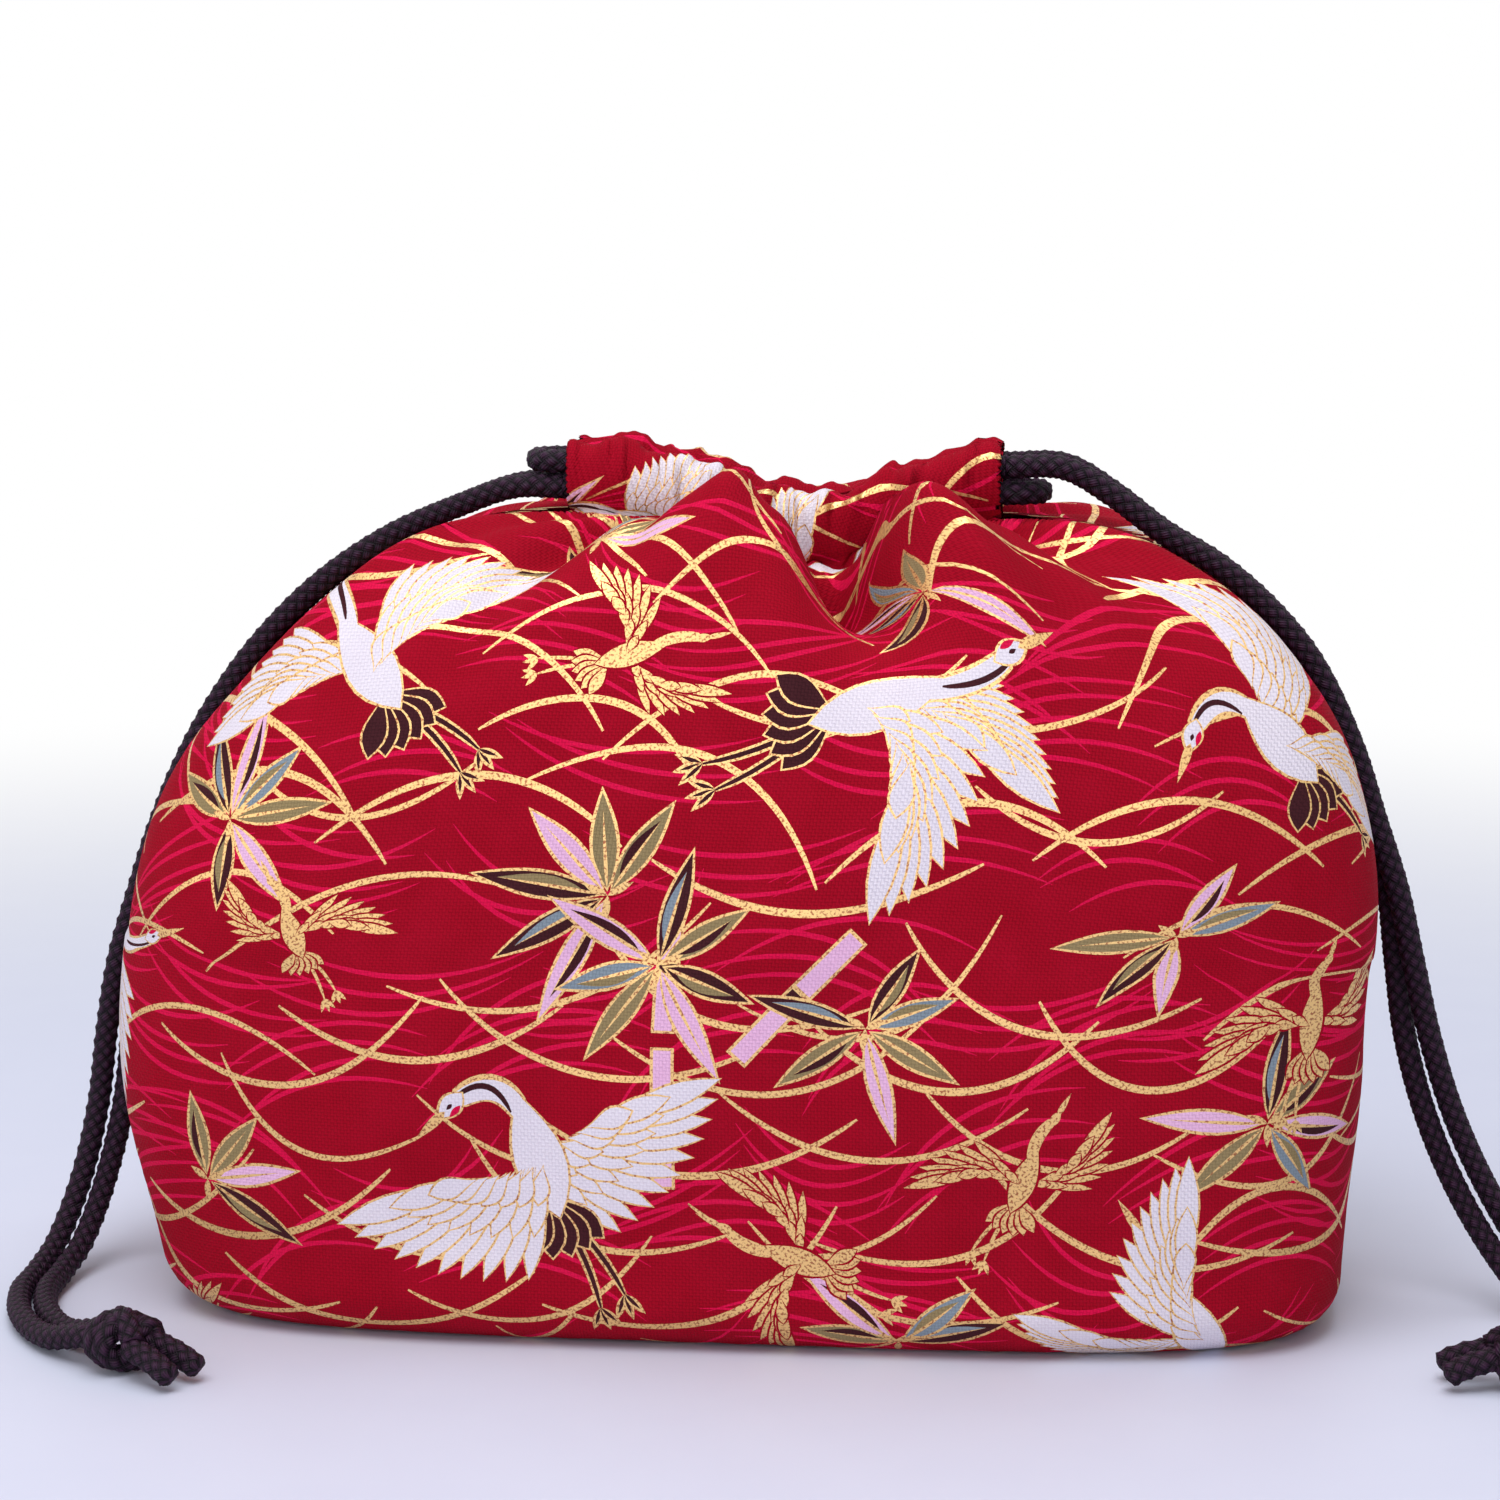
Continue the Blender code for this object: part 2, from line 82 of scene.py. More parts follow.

# %% [markdown]
# ## Where the cords lie
# Each drawcord leaves the hem as two strands. They lie on the shoulder of the bag, hang beside it and
# turn on the floor to a knot. A cord could be simulated, but a few given points, with a smooth
# curve through them, keep it exactly where the CAD model has it. Each point of a route is the middle of
# the pair, followed by how far the front strand lies from it. Lengths are in millimetres.

# %% The routes of the free strands
CORD = 5.0
CORD_LEVEL = 2.75
SEAM_GAP = 0.5
LEFT_ROUTE = (
    ((-49.0, 0.0, 175.0), (0.0, -6.2)),
    ((-61.8, 0.0, 170.6), (0.0, -4.8)),
    ((-76.7, 0.0, 164.1), (0.0, -3.6)),
    ((-92.3, 0.0, 153.7), (0.0, -2.9)),
    ((-106.3, 0.0, 139.9), (0.0, -2.8)),
    ((-116.8, 0.0, 125.6), (0.0, -2.8)),
    ((-124.3, 0.0, 112.0), (0.0, -2.8)),
    ((-129.9, 0.0, 98.0), (-0.3, -2.8)),
    ((-133.8, 0.0, 85.0), (-0.9, -2.65)),
    ((-138.0, 0.0, 69.0), (-1.8, -2.2)),
    ((-140.4, -0.3, 53.0), (-2.5, -1.3)),
    ((-142.5, -1.0, 36.5), (-2.8, -0.3)),
    ((-146.0, -4.0, 20.0), (-2.8, 0.0)),
    ((-149.4, -11.5, 7.6), (-2.9, 0.0)),
    ((-151.0, -22.0, 3.4), (-2.8, 0.0)),
    ((-150.4, -36.0, 2.9), (-2.8, -0.2)),
    ((-145.0, -52.0, 2.9), (-2.5, -1.3)),
    ((-136.0, -65.0, 3.4), (-1.9, -2.1)),
)
RIGHT_ROUTE = (
    ((68.0, 0.0, 179.8), (0.0, -6.2)),
    ((78.4, 0.0, 174.0), (0.0, -5.1)),
    ((88.9, 0.0, 166.2), (0.0, -3.9)),
    ((101.3, 0.0, 158.7), (0.0, -3.1)),
    ((112.2, 0.0, 149.3), (0.0, -2.8)),
    ((121.3, 0.0, 138.1), (0.0, -2.8)),
    ((129.5, 0.0, 121.4), (0.0, -2.8)),
    ((134.6, 0.0, 105.6), (0.2, -2.8)),
    ((138.9, 0.0, 90.5), (0.9, -2.65)),
    ((141.8, 0.0, 74.5), (1.8, -2.2)),
    ((145.0, -0.3, 58.0), (2.6, -1.3)),
    ((150.0, -1.0, 41.5), (3.0, -0.3)),
    ((157.0, -3.0, 26.0), (3.3, 0.0)),
    ((165.5, -8.0, 12.5), (3.4, 0.0)),
    ((173.0, -16.5, 4.6), (3.2, 0.0)),
    ((179.0, -28.0, 2.9), (3.3, -0.3)),
    ((181.2, -40.0, 2.9), (3.4, -0.6)),
    ((177.4, -50.6, 3.8), (2.6, -2.2)),
)
LINE_STEPS = 24
KNOT_LENGTH, KNOT_WIDTH, KNOT_HEIGHT = 11.0, 14.0, 12.0
KNOT_SPREAD, KNOT_APPROACH = 2.9, 3.0
# Where each knot lies, and the way its tails point, in degrees.
LEFT_KNOT = ((-118.6, -77.4, 6.5), -32)
RIGHT_KNOT = ((162.4, -57.0, 6.5), 186)


def beside_knot(tied, along, across, up=0.0):
    """A point by a knot: along the way its tails point, across it, and up from its middle."""
    place, heading = tied
    turn = Matrix.Rotation(math.radians(heading), 3, "Z")
    return Vector(place) + turn @ Vector((along, across, up))


def smooth_line(route):
    """Close points on a smooth curve through a route's own points."""
    fine = []
    for i in range(len(route) - 1):
        start, end = route[i], route[i + 1]
        before, after = route[max(i - 1, 0)], route[min(i + 2, len(route) - 1)]
        handle = (end - start).length / 3
        leave = start + (end - before).normalized() * handle
        arrive = end - (after - start).normalized() * handle
        fine += interpolate_bezier(start, leave, arrive, end, LINE_STEPS)[:-1]
    return fine + [route[-1]]


print("points on the routes:", len(LEFT_ROUTE), "left,", len(RIGHT_ROUTE), "right")

# %% [markdown]
# ## Numbers that shape the cloth
# The bag is two sheets, front and back, that meet along the sides and under the base. Going up a
# sheet, it is the flat base, a soft edge, an upright wall, a roof that leans in to the drawn mouth, and
# the hem that holds the cords. These sizes are the CAD model's own, in millimetres, so the cloth lies
# where its solids are. Three curve helpers follow: `smooth` steps gently from 0 to 1, `ramp` does so
# between two values, and `hump` rises to 1 and falls again.

# %% Sizes of the bag
BODY_WIDTH, BODY_DEPTH, BULGE = 260.0, 112.0, 4.0
EDGE_RADIUS, SHOULDER_HEIGHT, OUTLINE_POWER = 11.0, 80.0, 4.0
BASE_SEAM_SHARE, FOOT_OFFSET, LEAN_START = 0.93, 0.7, 60.0
ROOF_HEIGHT, LEFT_FULLNESS, RIGHT_FULLNESS, FRONT_FULLNESS = 172.0, 2.0, 1.9, 2.6
FULLNESS_REACH = 0.4
MOUTH_LENGTH, MOUTH_OFFSET, MOUTH_HEIGHT = 92.0, 9.0, 159.0
MOUTH_DIP, DIP_PLACE, DIP_HALF_WIDTH = 11.0, 0.06, 0.27
MOUTH_HALF_GAP, MOUTH_END_HALF_GAP, STITCH_STEP = 10.0, 6.6, 2.2
CASING_HEIGHT, CASING_WIDTH = 16.0, 9.8
CASING_START, CASING_END = math.radians(-58), math.radians(268)
SIDE_GROOVE, GROOVE_START, SEAM_REACH = 3.2, 52.0, 0.06
CORNER_SAG, CORNER_TOP = 8.0, 55.0


def smooth(t):
    t = np.clip(t, 0.0, 1.0)
    return t * t * (3.0 - 2.0 * t)


def ramp(value, start, end):
    return smooth((value - start) / (end - start))


def hump(offset, half_width):
    return np.exp(-((offset / half_width) ** 2))


print(f"body {BODY_WIDTH:.0f} x {BODY_DEPTH:.0f} mm, mouth {MOUTH_LENGTH:.0f} mm long")

# %% [markdown]
# ## The outline of the body
# Seen from above the filled bag is a rounded rectangle. A superellipse gives that with one number. Its
# points are spaced evenly along the cloth, because that is how the threads run. Seven hundred columns
# are enough for the finest pleat.

# %% Columns along the outline
COLUMNS = 700
sweep = np.linspace(math.pi, 0.0, 6001)
unit_x = np.sign(np.cos(sweep)) * np.abs(np.cos(sweep)) ** (2.0 / OUTLINE_POWER)
unit_y = np.abs(np.sin(sweep)) ** (2.0 / OUTLINE_POWER)
steps = np.hypot(np.diff(unit_x) * BODY_WIDTH / 2, np.diff(unit_y) * BODY_DEPTH / 2)
along_outline = np.concatenate([[0.0], np.cumsum(steps)])
even = np.linspace(0.0, along_outline[-1], COLUMNS + 1)
OUT_X = np.interp(even, along_outline, unit_x)
OUT_Y = np.interp(even, along_outline, unit_y)
ACROSS = np.linspace(-0.5, 0.5, COLUMNS + 1)
FACING = np.sign(ACROSS)
normal_x = np.sign(OUT_X) * np.abs(OUT_X) ** (OUTLINE_POWER - 1) / BODY_WIDTH
normal_y = OUT_Y ** (OUTLINE_POWER - 1) / BODY_DEPTH
normal_length = np.hypot(normal_x, normal_y)
NORMAL_X, NORMAL_Y = normal_x / normal_length, normal_y / normal_length
print(f"cloth across one sheet: {along_outline[-1]:.0f} mm")

# %% [markdown]
# ## Folds, pleats and creases
# Drawn cloth does three things. It throws a few large folds, which the CAD model has too. It packs
# into small pleats at the hem, each with its own width and depth, and it carries long soft creases down
# the roof. A simulation would find its own folds in other places than the real ones, so they are placed
# as moves of the surface instead: the large ones listed one by one, the small ones by a seeded random
# choice.

# %% Choose the folds
# Place and half-width as shares of the sheet, height in millimetres, and its peak up the roof.
FRONT_FOLDS = (
    (0.075, 0.045, -26.0, 0.80),
    (-0.045, 0.085, 12.0, 0.86),
    (0.185, 0.064, 11.0, 0.85),
    (-0.215, 0.035, -5.5, 0.80),
    (0.300, 0.032, -5.0, 0.76),
    (-0.330, 0.060, 3.5, 0.66),
    (0.400, 0.050, 3.0, 0.66),
)
BACK_FOLDS = (
    (-0.110, 0.048, -15.0, 0.80),
    (0.050, 0.100, 6.0, 0.74),
    (-0.250, 0.065, 6.5, 0.72),
    (0.215, 0.034, -5.5, 0.78),
    (0.330, 0.065, 5.0, 0.66),
)
FOLD_REACH = 0.27
PLEATS, CREASES = 17, 15
DEEP_PLEATS_WITHIN, DEEPER = 0.36, 1.5
CLOTH_ACROSS = 335.0
# Ripples of the hem: height in millimetres, radians across the sheet, slant and start.
CRUMPLES = ((0.6, 61.0, 4.0, 0.0), (0.5, 97.0, -7.0, 1.0), (0.35, 163.0, 9.0, 2.0))
LUMPS = ((0.9, 31.0, 0.0, 0.6), (0.7, 53.0, 0.0, 2.0))


def choose_pleats(seed):
    """Small pleats at the hem (place, half-width, height, reach) and long creases below it."""
    chance = random.Random(seed)
    pleats = []
    for i in range(PLEATS):
        place = -0.46 + 0.92 * (i + chance.uniform(0.05, 0.95)) / PLEATS
        height = chance.uniform(0.9, 2.6) * (1 if i % 2 else -0.8)
        height *= DEEPER if abs(place) < DEEP_PLEATS_WITHIN else 1.0
        pleats.append((place, chance.uniform(0.012, 0.026), height, chance.uniform(0.22, 0.5)))
    creases = []
    for i in range(CREASES):
        place = -0.44 + 0.88 * (i + chance.uniform(0.1, 0.9)) / CREASES
        height = chance.uniform(0.8, 2.2) * chance.choice((1, -1))
        creases.append((place, chance.uniform(0.012, 0.028), height, chance.uniform(0.5, 0.78)))
    return pleats, creases


def pleat_wave(pleats, widen):
    """The height of the small pleats across a sheet; they widen as they run down from the hem."""
    total = np.zeros(COLUMNS + 1)
    for place, half_width, height, _ in pleats:
        total += height * hump(ACROSS - place, half_width * widen)
    return total


def ripple(waves, share):
    """The height of ripples across the hem, at a share of the way round it."""
    return sum(
        height * np.sin(ACROSS * radians + slant * share + start)
        for height, radians, slant, start in waves
    )


def rumple(height, seed):
    """The slow unevenness of cloth over soft contents, in millimetres."""
    a = ACROSS * CLOTH_ACROSS
    waves = 0.55 * np.sin(a / 17.0 + height / 23.0 + seed) * np.sin(height / 19.0 + 1.3 * seed)
    waves += 0.35 * np.sin(a / 9.5 - height / 14.0 + 2.0 * seed)
    waves += 0.25 * np.sin(a / 6.1 + height / 31.0) * np.sin(height / 8.7 + a / 40.0)
    return waves


print("large folds:", len(FRONT_FOLDS), "in front,", len(BACK_FOLDS), "behind")

# %% [markdown]
# ## From the base to the shoulder
# A sheet has five stretches. For each one a function gives a row of threads across the sheet, as x,
# the distance from the middle plane, and z. The first three are the flat base, its soft edge and the
# wall, which swells a little over the contents.

# %% Rows of the base, edge and wall
def corner_sag(height):
    """How far the soft lower left corner draws in at a height."""
    return CORNER_SAG * smooth((-ACROSS - 0.22) / 0.22) * max(0.0, 1.0 - height / CORNER_TOP) ** 2


def base_row(share):
    half_seam = BASE_SEAM_SHARE * (BODY_WIDTH / 2 - EDGE_RADIUS)
    x = 2.0 * ACROSS * half_seam * (1.0 - share) + OUT_X * (BODY_WIDTH / 2 - EDGE_RADIUS) * share
    y = OUT_Y * (BODY_DEPTH / 2 - EDGE_RADIUS) * share
    seam_roll = 1.2 * hump(y, 1.6)
    return x + corner_sag(0.0) * share, y, seam_roll


def edge_row(share):
    angle = share * math.pi / 2
    inset = EDGE_RADIUS * (1.0 - math.sin(angle))
    height = EDGE_RADIUS * (1.0 - math.cos(angle))
    x = OUT_X * (BODY_WIDTH / 2 - inset) + corner_sag(height)
    return x, OUT_Y * (BODY_DEPTH / 2 - inset), np.full(COLUMNS + 1, height)


def wall_row(share, seed):
    height = EDGE_RADIUS + (SHOULDER_HEIGHT - EDGE_RADIUS) * share
    swell = BULGE * math.sin(math.pi / 2 * smooth(share)) + rumple(height, seed) * smooth(share * 4.0)
    rise = ramp(height, GROOVE_START, SHOULDER_HEIGHT)
    groove = SIDE_GROOVE * rise * hump(0.5 - np.abs(ACROSS), SEAM_REACH)
    x = OUT_X * BODY_WIDTH / 2 + NORMAL_X * swell - FACING * groove + corner_sag(height)
    return x, OUT_Y * BODY_DEPTH / 2 + NORMAL_Y * swell, np.full(COLUMNS + 1, height)


# %% [markdown]
# ## The roof
# The roof is the telling stretch. Its curve is fuller in front than at the sides, its last part
# follows the dip of the mouth, and the folds, creases and pleats push it out or pull it in along its
# own normal. The numbers below are shares of the way up it.

# %% Rows of the roof
SEAMS_END, FOLLOWS_MOUTH, FOLLOWS_LATER = 0.72, 0.66, 0.1
FOLDS_BEGIN, VALLEYS_FADE, RIDGES_FADE = 0.18, 0.84, 0.92
CREASE_REACH = 0.2


def mouth_place(across):
    """The line between roof and hem, at a place across the sheet from -0.5 to 0.5."""
    bow = (MOUTH_HALF_GAP - MOUTH_END_HALF_GAP) * (1.0 - (2.0 * across) ** 2)
    rise = MOUTH_DIP * (1.0 - hump(across - DIP_PLACE, DIP_HALF_WIDTH))
    return across * MOUTH_LENGTH, MOUTH_END_HALF_GAP + bow, MOUTH_HEIGHT + rise


def roof_push(share, folds, pleats, creases):
    """How far folds, creases and pleats move a row of the roof, in millimetres."""
    push = np.zeros(COLUMNS + 1)
    for place, half_width, height, peak in folds:
        fades = VALLEYS_FADE if height < 0 else RIDGES_FADE
        level = hump(share - peak, FOLD_REACH) * (1.0 - ramp(share, fades, 1.0))
        push += height * level * hump(ACROSS - place, half_width)
    push *= smooth(share / FOLDS_BEGIN)
    for place, half_width, height, peak in creases:
        spread = half_width * (1.0 + 0.8 * (1.0 - share))
        push += height * hump(share - peak, CREASE_REACH) * hump(ACROSS - place, spread)
    for place, half_width, height, reach in pleats:
        deep = smooth((share - (1.0 - reach)) / (0.8 * reach))
        push += height * deep * hump(ACROSS - place, half_width * (1.0 + 1.2 * (1.0 - share)))
    return push


def roof_row(share, folds, pleats, creases, seed):
    shoulder_x, shoulder_y, _ = wall_row(1.0, seed)
    mouth_x, mouth_y, mouth_z = mouth_place(ACROSS)
    mouth_y = mouth_y + STITCH_STEP
    from_seam = 0.5 - np.abs(ACROSS)
    at_seam = np.where(ACROSS < 0, LEFT_FULLNESS, RIGHT_FULLNESS)
    power = 2.0 / (at_seam + (FRONT_FULLNESS - at_seam) * smooth(from_seam / FULLNESS_REACH))
    angle = share * math.pi / 2
    inward = 1.0 - math.cos(angle) ** power
    x = shoulder_x + (mouth_x - shoulder_x) * inward
    y = shoulder_y + (mouth_y - shoulder_y) * inward
    sewn = 1.0 - ramp(share, SEAMS_END, 1.0)
    y = y - mouth_y * inward * sewn * hump(from_seam, SEAM_REACH)
    z = SHOULDER_HEIGHT + (ROOF_HEIGHT - SHOULDER_HEIGHT) * math.sin(angle) ** power
    follows = FOLLOWS_MOUTH + FOLLOWS_LATER * smooth(from_seam / 0.2)
    z = z + (mouth_z - ROOF_HEIGHT) * ramp(share, follows, 1.0)
    push = roof_push(share, folds, pleats, creases)
    push += rumple(z, seed) * (1.0 - smooth((share - 0.5) / 0.3))
    push *= smooth(from_seam / 0.03)
    outward = math.cos(angle)
    return x + NORMAL_X * outward * push, y + NORMAL_Y * outward * push, z + math.sin(angle) * push


# %% [markdown]
# ## The hem
# The hem runs round an upright oval, which is the channel for the cords. Its outer side is ruffled by
# the pleats, and its top edge is crumpled and uneven.

# %% Rows of the hem
def hem_row(share, pleats):
    angle = CASING_START + (CASING_END - CASING_START) * share
    outer_share, up_share = 0.5 + 0.5 * math.cos(angle), max(0.0, math.sin(angle))
    from_end = smooth((0.5 - np.abs(ACROSS)) / 0.05)
    crushed = ripple(CRUMPLES, share)
    ruffle = np.maximum(1.0 + 0.9 * pleat_wave(pleats, 1.15) + 1.2 * crushed, 0.0)
    ruffle = ruffle * math.sin(math.pi * share) * (0.25 + 0.75 * from_end)
    frill = (ripple(LUMPS, share) + 0.3 * crushed - 0.5) * up_share**2
    mouth_x, mouth_y, mouth_z = mouth_place(ACROSS)
    out = CASING_WIDTH / 2 * math.cos(angle) + ruffle * outer_share
    up = CASING_HEIGHT / 2 * (1.0 + math.sin(angle)) + 0.2 * ruffle * up_share + frill
    return mouth_x + 0.5 * crushed * outer_share * from_end, mouth_y + out, mouth_z + up


# %% [markdown]
# ## One sheet as a fine grid
# The rows stack into a grid. At the side seams and under the base the real cloth turns inward as a
# seam allowance, so a few extra columns and rows turn in there and close the gap between the sheets.
# Beside its place in space, each grid point gets a place on the flat cloth: how far it is from the
# middle along its row, and how far up the sheet. The print is drawn in that flat space, so it isn't
# squeezed where the cloth leans or folds.

# %% Build the grids
STRETCHES = (("base", 16), ("edge", 10), ("wall", 40), ("roof", 120), ("hem", 60))
ALLOWANCE = (1.6, 3.4, 5.5)


def cloth_grid(side, folds, seed):
    """Points in space (rows, columns, 3), their place on the flat cloth, and each stretch's rows."""
    pleats, creases = choose_pleats(seed)
    make = {
        "base": base_row,
        "edge": edge_row,
        "wall": lambda share: wall_row(share, seed),
        "roof": lambda share: roof_row(share, folds, pleats, creases, seed),
        "hem": lambda share: hem_row(share, pleats),
    }
    rows, starts = [], {}
    for name, count in STRETCHES:
        starts[name] = len(rows)
        for i in range(0 if name in ("base", "hem") else 1, count + 1):
            x, y, z = make[name](i / count)
            turned_in = 0.08 if name == "hem" else 1.0
            left = [(x[0] + turned_in * d, y[0], z[0]) for d in ALLOWANCE]
            right = [(x[-1] - turned_in * d, y[-1], z[-1]) for d in ALLOWANCE]
            rows.append(np.array(left[::-1] + list(zip(x, y, z)) + right))
    under = [rows[0] + np.array((0.0, 0.0, lift)) for lift in ALLOWANCE[::-1]]
    starts = {name: row + len(under) for name, row in starts.items()}
    grid = np.array(under + rows)
    lean = ramp(grid[..., 2], LEAN_START, MOUTH_HEIGHT)
    grid[..., 0] += (MOUTH_OFFSET + FOOT_OFFSET) * lean - FOOT_OFFSET
    grid[..., 1] = side * (SEAM_GAP / 2 + grid[..., 1])
    along_rows = np.cumsum(np.linalg.norm(np.diff(grid, axis=1), axis=2), axis=1)
    flat_x = np.concatenate([np.zeros((len(grid), 1)), along_rows], axis=1)
    flat_x -= flat_x[:, [flat_x.shape[1] // 2]]
    middle = slice(COLUMNS // 4, 3 * COLUMNS // 4)
    climb = np.median(np.linalg.norm(np.diff(grid, axis=0), axis=2)[:, middle], axis=1)
    flat_y = np.concatenate([[0.0], np.cumsum(climb)])
    return grid, flat_x, flat_y - flat_y[starts["base"]], starts


def grid_normals(grid, side):
    across, up = np.gradient(grid, axis=1), np.gradient(grid, axis=0)
    normals = np.cross(across, up) * -side
    return normals / np.maximum(np.linalg.norm(normals, axis=2, keepdims=True), 1e-9)


WIDEST_ROW = 90
FRONT_SEED, BACK_SEED = 3, 8
FRONT = cloth_grid(-1, FRONT_FOLDS, FRONT_SEED)
BACK = cloth_grid(1, BACK_FOLDS, BACK_SEED)
widest = np.ptp(FRONT[1][WIDEST_ROW])
print(f"one sheet: {FRONT[2][-1]:.0f} mm up the cloth, {widest:.0f} mm across it")

# %% [markdown]
# ## Shapes of the print
# The cotton is printed with common, traditional subjects: cranes in flight, bamboo leaves and
# overlapping arcs. A picture could be laid on the cloth, but flat shapes cut into the mesh stay sharp
# at any size. Every shape here is an outline on the flat cloth in millimetres with the name of its
# colour, and a later shape lies over an earlier one. The smallest building block is a leaf.

# %% Strokes and leaves
def turned(points, at, angle=0.0, size=1.0, flip=1.0):
    """Points of a motif moved to their place on the cloth."""
    c, s = math.cos(angle), math.sin(angle)
    x, y = points[:, 0] * size, points[:, 1] * size * flip
    return np.stack([at[0] + x * c - y * s, at[1] + x * s + y * c], axis=1)


LEAF_POINTS = 9


def leaf(at, angle, length, width, fullest=0.45, half=0):
    """A pointed oval from its root outward; half picks one side of its middle line."""
    t = np.linspace(0.0, 1.0, LEAF_POINTS)
    swell = width / 2 * np.sin(math.pi * t ** (math.log(0.5) / math.log(fullest)))
    upper = np.stack([length * t, swell if half >= 0 else 0.06 * width * (t > 0)], axis=1)
    lower = np.stack([length * t, -swell if half <= 0 else 0.06 * width * (t > 0)], axis=1)
    if half > 0:
        lower[:, 1] = 0.05 * width * np.sin(math.pi * t)
    if half < 0:
        upper[:, 1] = -0.05 * width * np.sin(math.pi * t)
    return turned(np.concatenate([lower, upper[::-1][1:-1]]), at, angle)


def bar(start, end, width):
    """A straight bar with square ends."""
    start, end = np.array(start, float), np.array(end, float)
    chord = end - start
    aside = np.array((-chord[1], chord[0])) / np.hypot(*chord) * width / 2
    return np.array((start - aside, end - aside, end + aside, start + aside))


def stroke(start, end, rise, width, points=14, taper=0.6, tip=0.12):
    """A curved stroke, widest in its middle; tip is the share of its width left at the ends."""
    start, end = np.array(start, float), np.array(end, float)
    t = np.linspace(0.0, 1.0, points)[:, None]
    chord = end - start
    aside = np.array((-chord[1], chord[0])) / np.hypot(*chord)
    middle = start + chord * t + aside * rise * 4.0 * t * (1.0 - t)
    along = np.gradient(middle, axis=0)
    across = np.stack([-along[:, 1], along[:, 0]], axis=1) / np.linalg.norm(along, axis=1)[:, None]
    half = width / 2 * (tip + (1.0 - tip) * np.sin(math.pi * t) ** taper)
    return np.concatenate([middle - across * half, (middle + across * half)[::-1]])


# %% [markdown]
# ## Arcs
# The ground of the print is a net of gold arcs, mostly hills in the upper half and bowls in the lower
# half, over bundles of fine arcs in a brighter red. They are set out on staggered rows, and a seeded
# random choice shifts, tilts and bends each one, as a hand would.

# %% Gold arcs and fine red arcs
FINE_LINE, FINE_STEP = 1.1, 4.0
HILLS_ABOVE = 140
FRONT_ARCS, BACK_ARCS = 11, 29


def staggered(rows, columns, first, pitch):
    """Places on staggered rows, in reading order from the lower left."""
    for row in range(rows):
        for column in range(columns):
            shift = pitch[0] // 2 * (row % 2)
            yield first[0] + pitch[0] * column + shift, first[1] + pitch[1] * row


def halfway(angle, span):
    """From the middle of a stroke to its end."""
    return np.array((math.cos(angle), math.sin(angle))) * span / 2


def arc_net(seed):
    """The arcs over a whole sheet, as (colour, outline) pairs."""
    chance = random.Random(seed)
    shapes = []
    for x, y in staggered(14, 10, (-184, 4), (41, 21)):
        at = np.array((x + chance.uniform(-8, 8), y + chance.uniform(-6, 6)))
        span, tilt = chance.uniform(34, 58), chance.uniform(-0.45, 0.45)
        bend = chance.uniform(5.0, 9.5) * (1 if chance.random() < 0.4 else -1)
        for line in range(chance.choice((3, 3, 4, 5))):
            reach = halfway(tilt + chance.uniform(-0.06, 0.1) * line, span)
            middle = at + (chance.uniform(-4, 4), FINE_STEP * line)
            arc = stroke(middle - reach, middle + reach, bend, FINE_LINE, 14, 0.7)
            shapes.append(("rose", arc))
    for x, y in staggered(16, 11, (-186, 2), (37, 17.5)):
        at = np.array((x + chance.uniform(-7, 7), y + chance.uniform(-4, 4)))
        span, tilt = chance.uniform(46, 70), chance.uniform(-0.38, 0.38)
        hill = chance.random() < (0.85 if at[1] > HILLS_ABOVE else 0.2)
        reach = halfway(tilt, span)
        bend = chance.uniform(10, 17) * (1 if hill else -1)
        width = chance.uniform(1.25, 1.65)
        shapes.append(("gold", stroke(at - reach, at + reach, bend, width, 26, 0.55, 0.3)))
    return shapes


print("arcs on the front sheet:", len(arc_net(FRONT_ARCS)))

# %% [markdown]
# ## Cranes
# A crane is a body, a bent neck, two fans of feathers, a dark tail and trailing legs. On the white
# ones each feather is a gold leaf with a slightly smaller white leaf on it, which leaves the fine gold
# edge that the foil printing has. The small gold birds have no edge: the red between their feathers
# draws them.

# %% Draw a crane
EDGE = 0.5


def feather(at, angle, length, width, colour):
    """A feather with its gold edge, or a gold one with a thin red line around it."""
    if colour == "gold":
        return [
            ("red", leaf(at, angle, length + 0.4, width + 0.9, 0.62)),
            ("gold", leaf(at, angle, length, width * 0.86, 0.62)),
        ]
    rim = (at[0] - EDGE * math.cos(angle), at[1] - EDGE * math.sin(angle))
    return [
        ("gold", leaf(rim, angle, length + 2 * EDGE, width + 2 * EDGE, 0.62)),
        (colour, leaf(at, angle, length, width, 0.62)),
    ]


def wing(at, arm, lead, spread, span, count, colour):
    """A fan of flight feathers along an arm, with shorter rows over their roots."""
    shapes = []
    # Each row's length and feather width as shares of the span, with its number of feathers.
    rows = ((1.0, count, 0.125), (0.62, count - 2, 0.115), (0.34, count - 3, 0.11))
    for reach, some, width in rows:
        for i in range(some):
            share = i / (some - 1)
            angle = lead + spread * (1.0 - share)
            out = 0.36 * span * share
            root = (at[0] + math.cos(arm) * out, at[1] + math.sin(arm) * out)
            length = span * reach * (0.62 + 0.16 * share)
            shapes += feather(root, angle, length, width * span * (0.8 + 0.2 * share), colour)
    return shapes


# A crane is drawn in millimetres, around the middle of its body.
# Where the nape is, how far the neck bows, and which way the head looks, in radians.
NECKS = {
    "straight": ((27.5, 4.6), -2.4, 0.3),
    "curled": ((15.5, 15.5), -5.5, 2.2),
}
SPAN, GOLD_FEATHERS, WHITE_FEATHERS = 40.0, 7, 10
RUMP, HIP, SHOULDER = (-13.0, -1.0), (-9.0, 0.0), (9.0, 1.2)


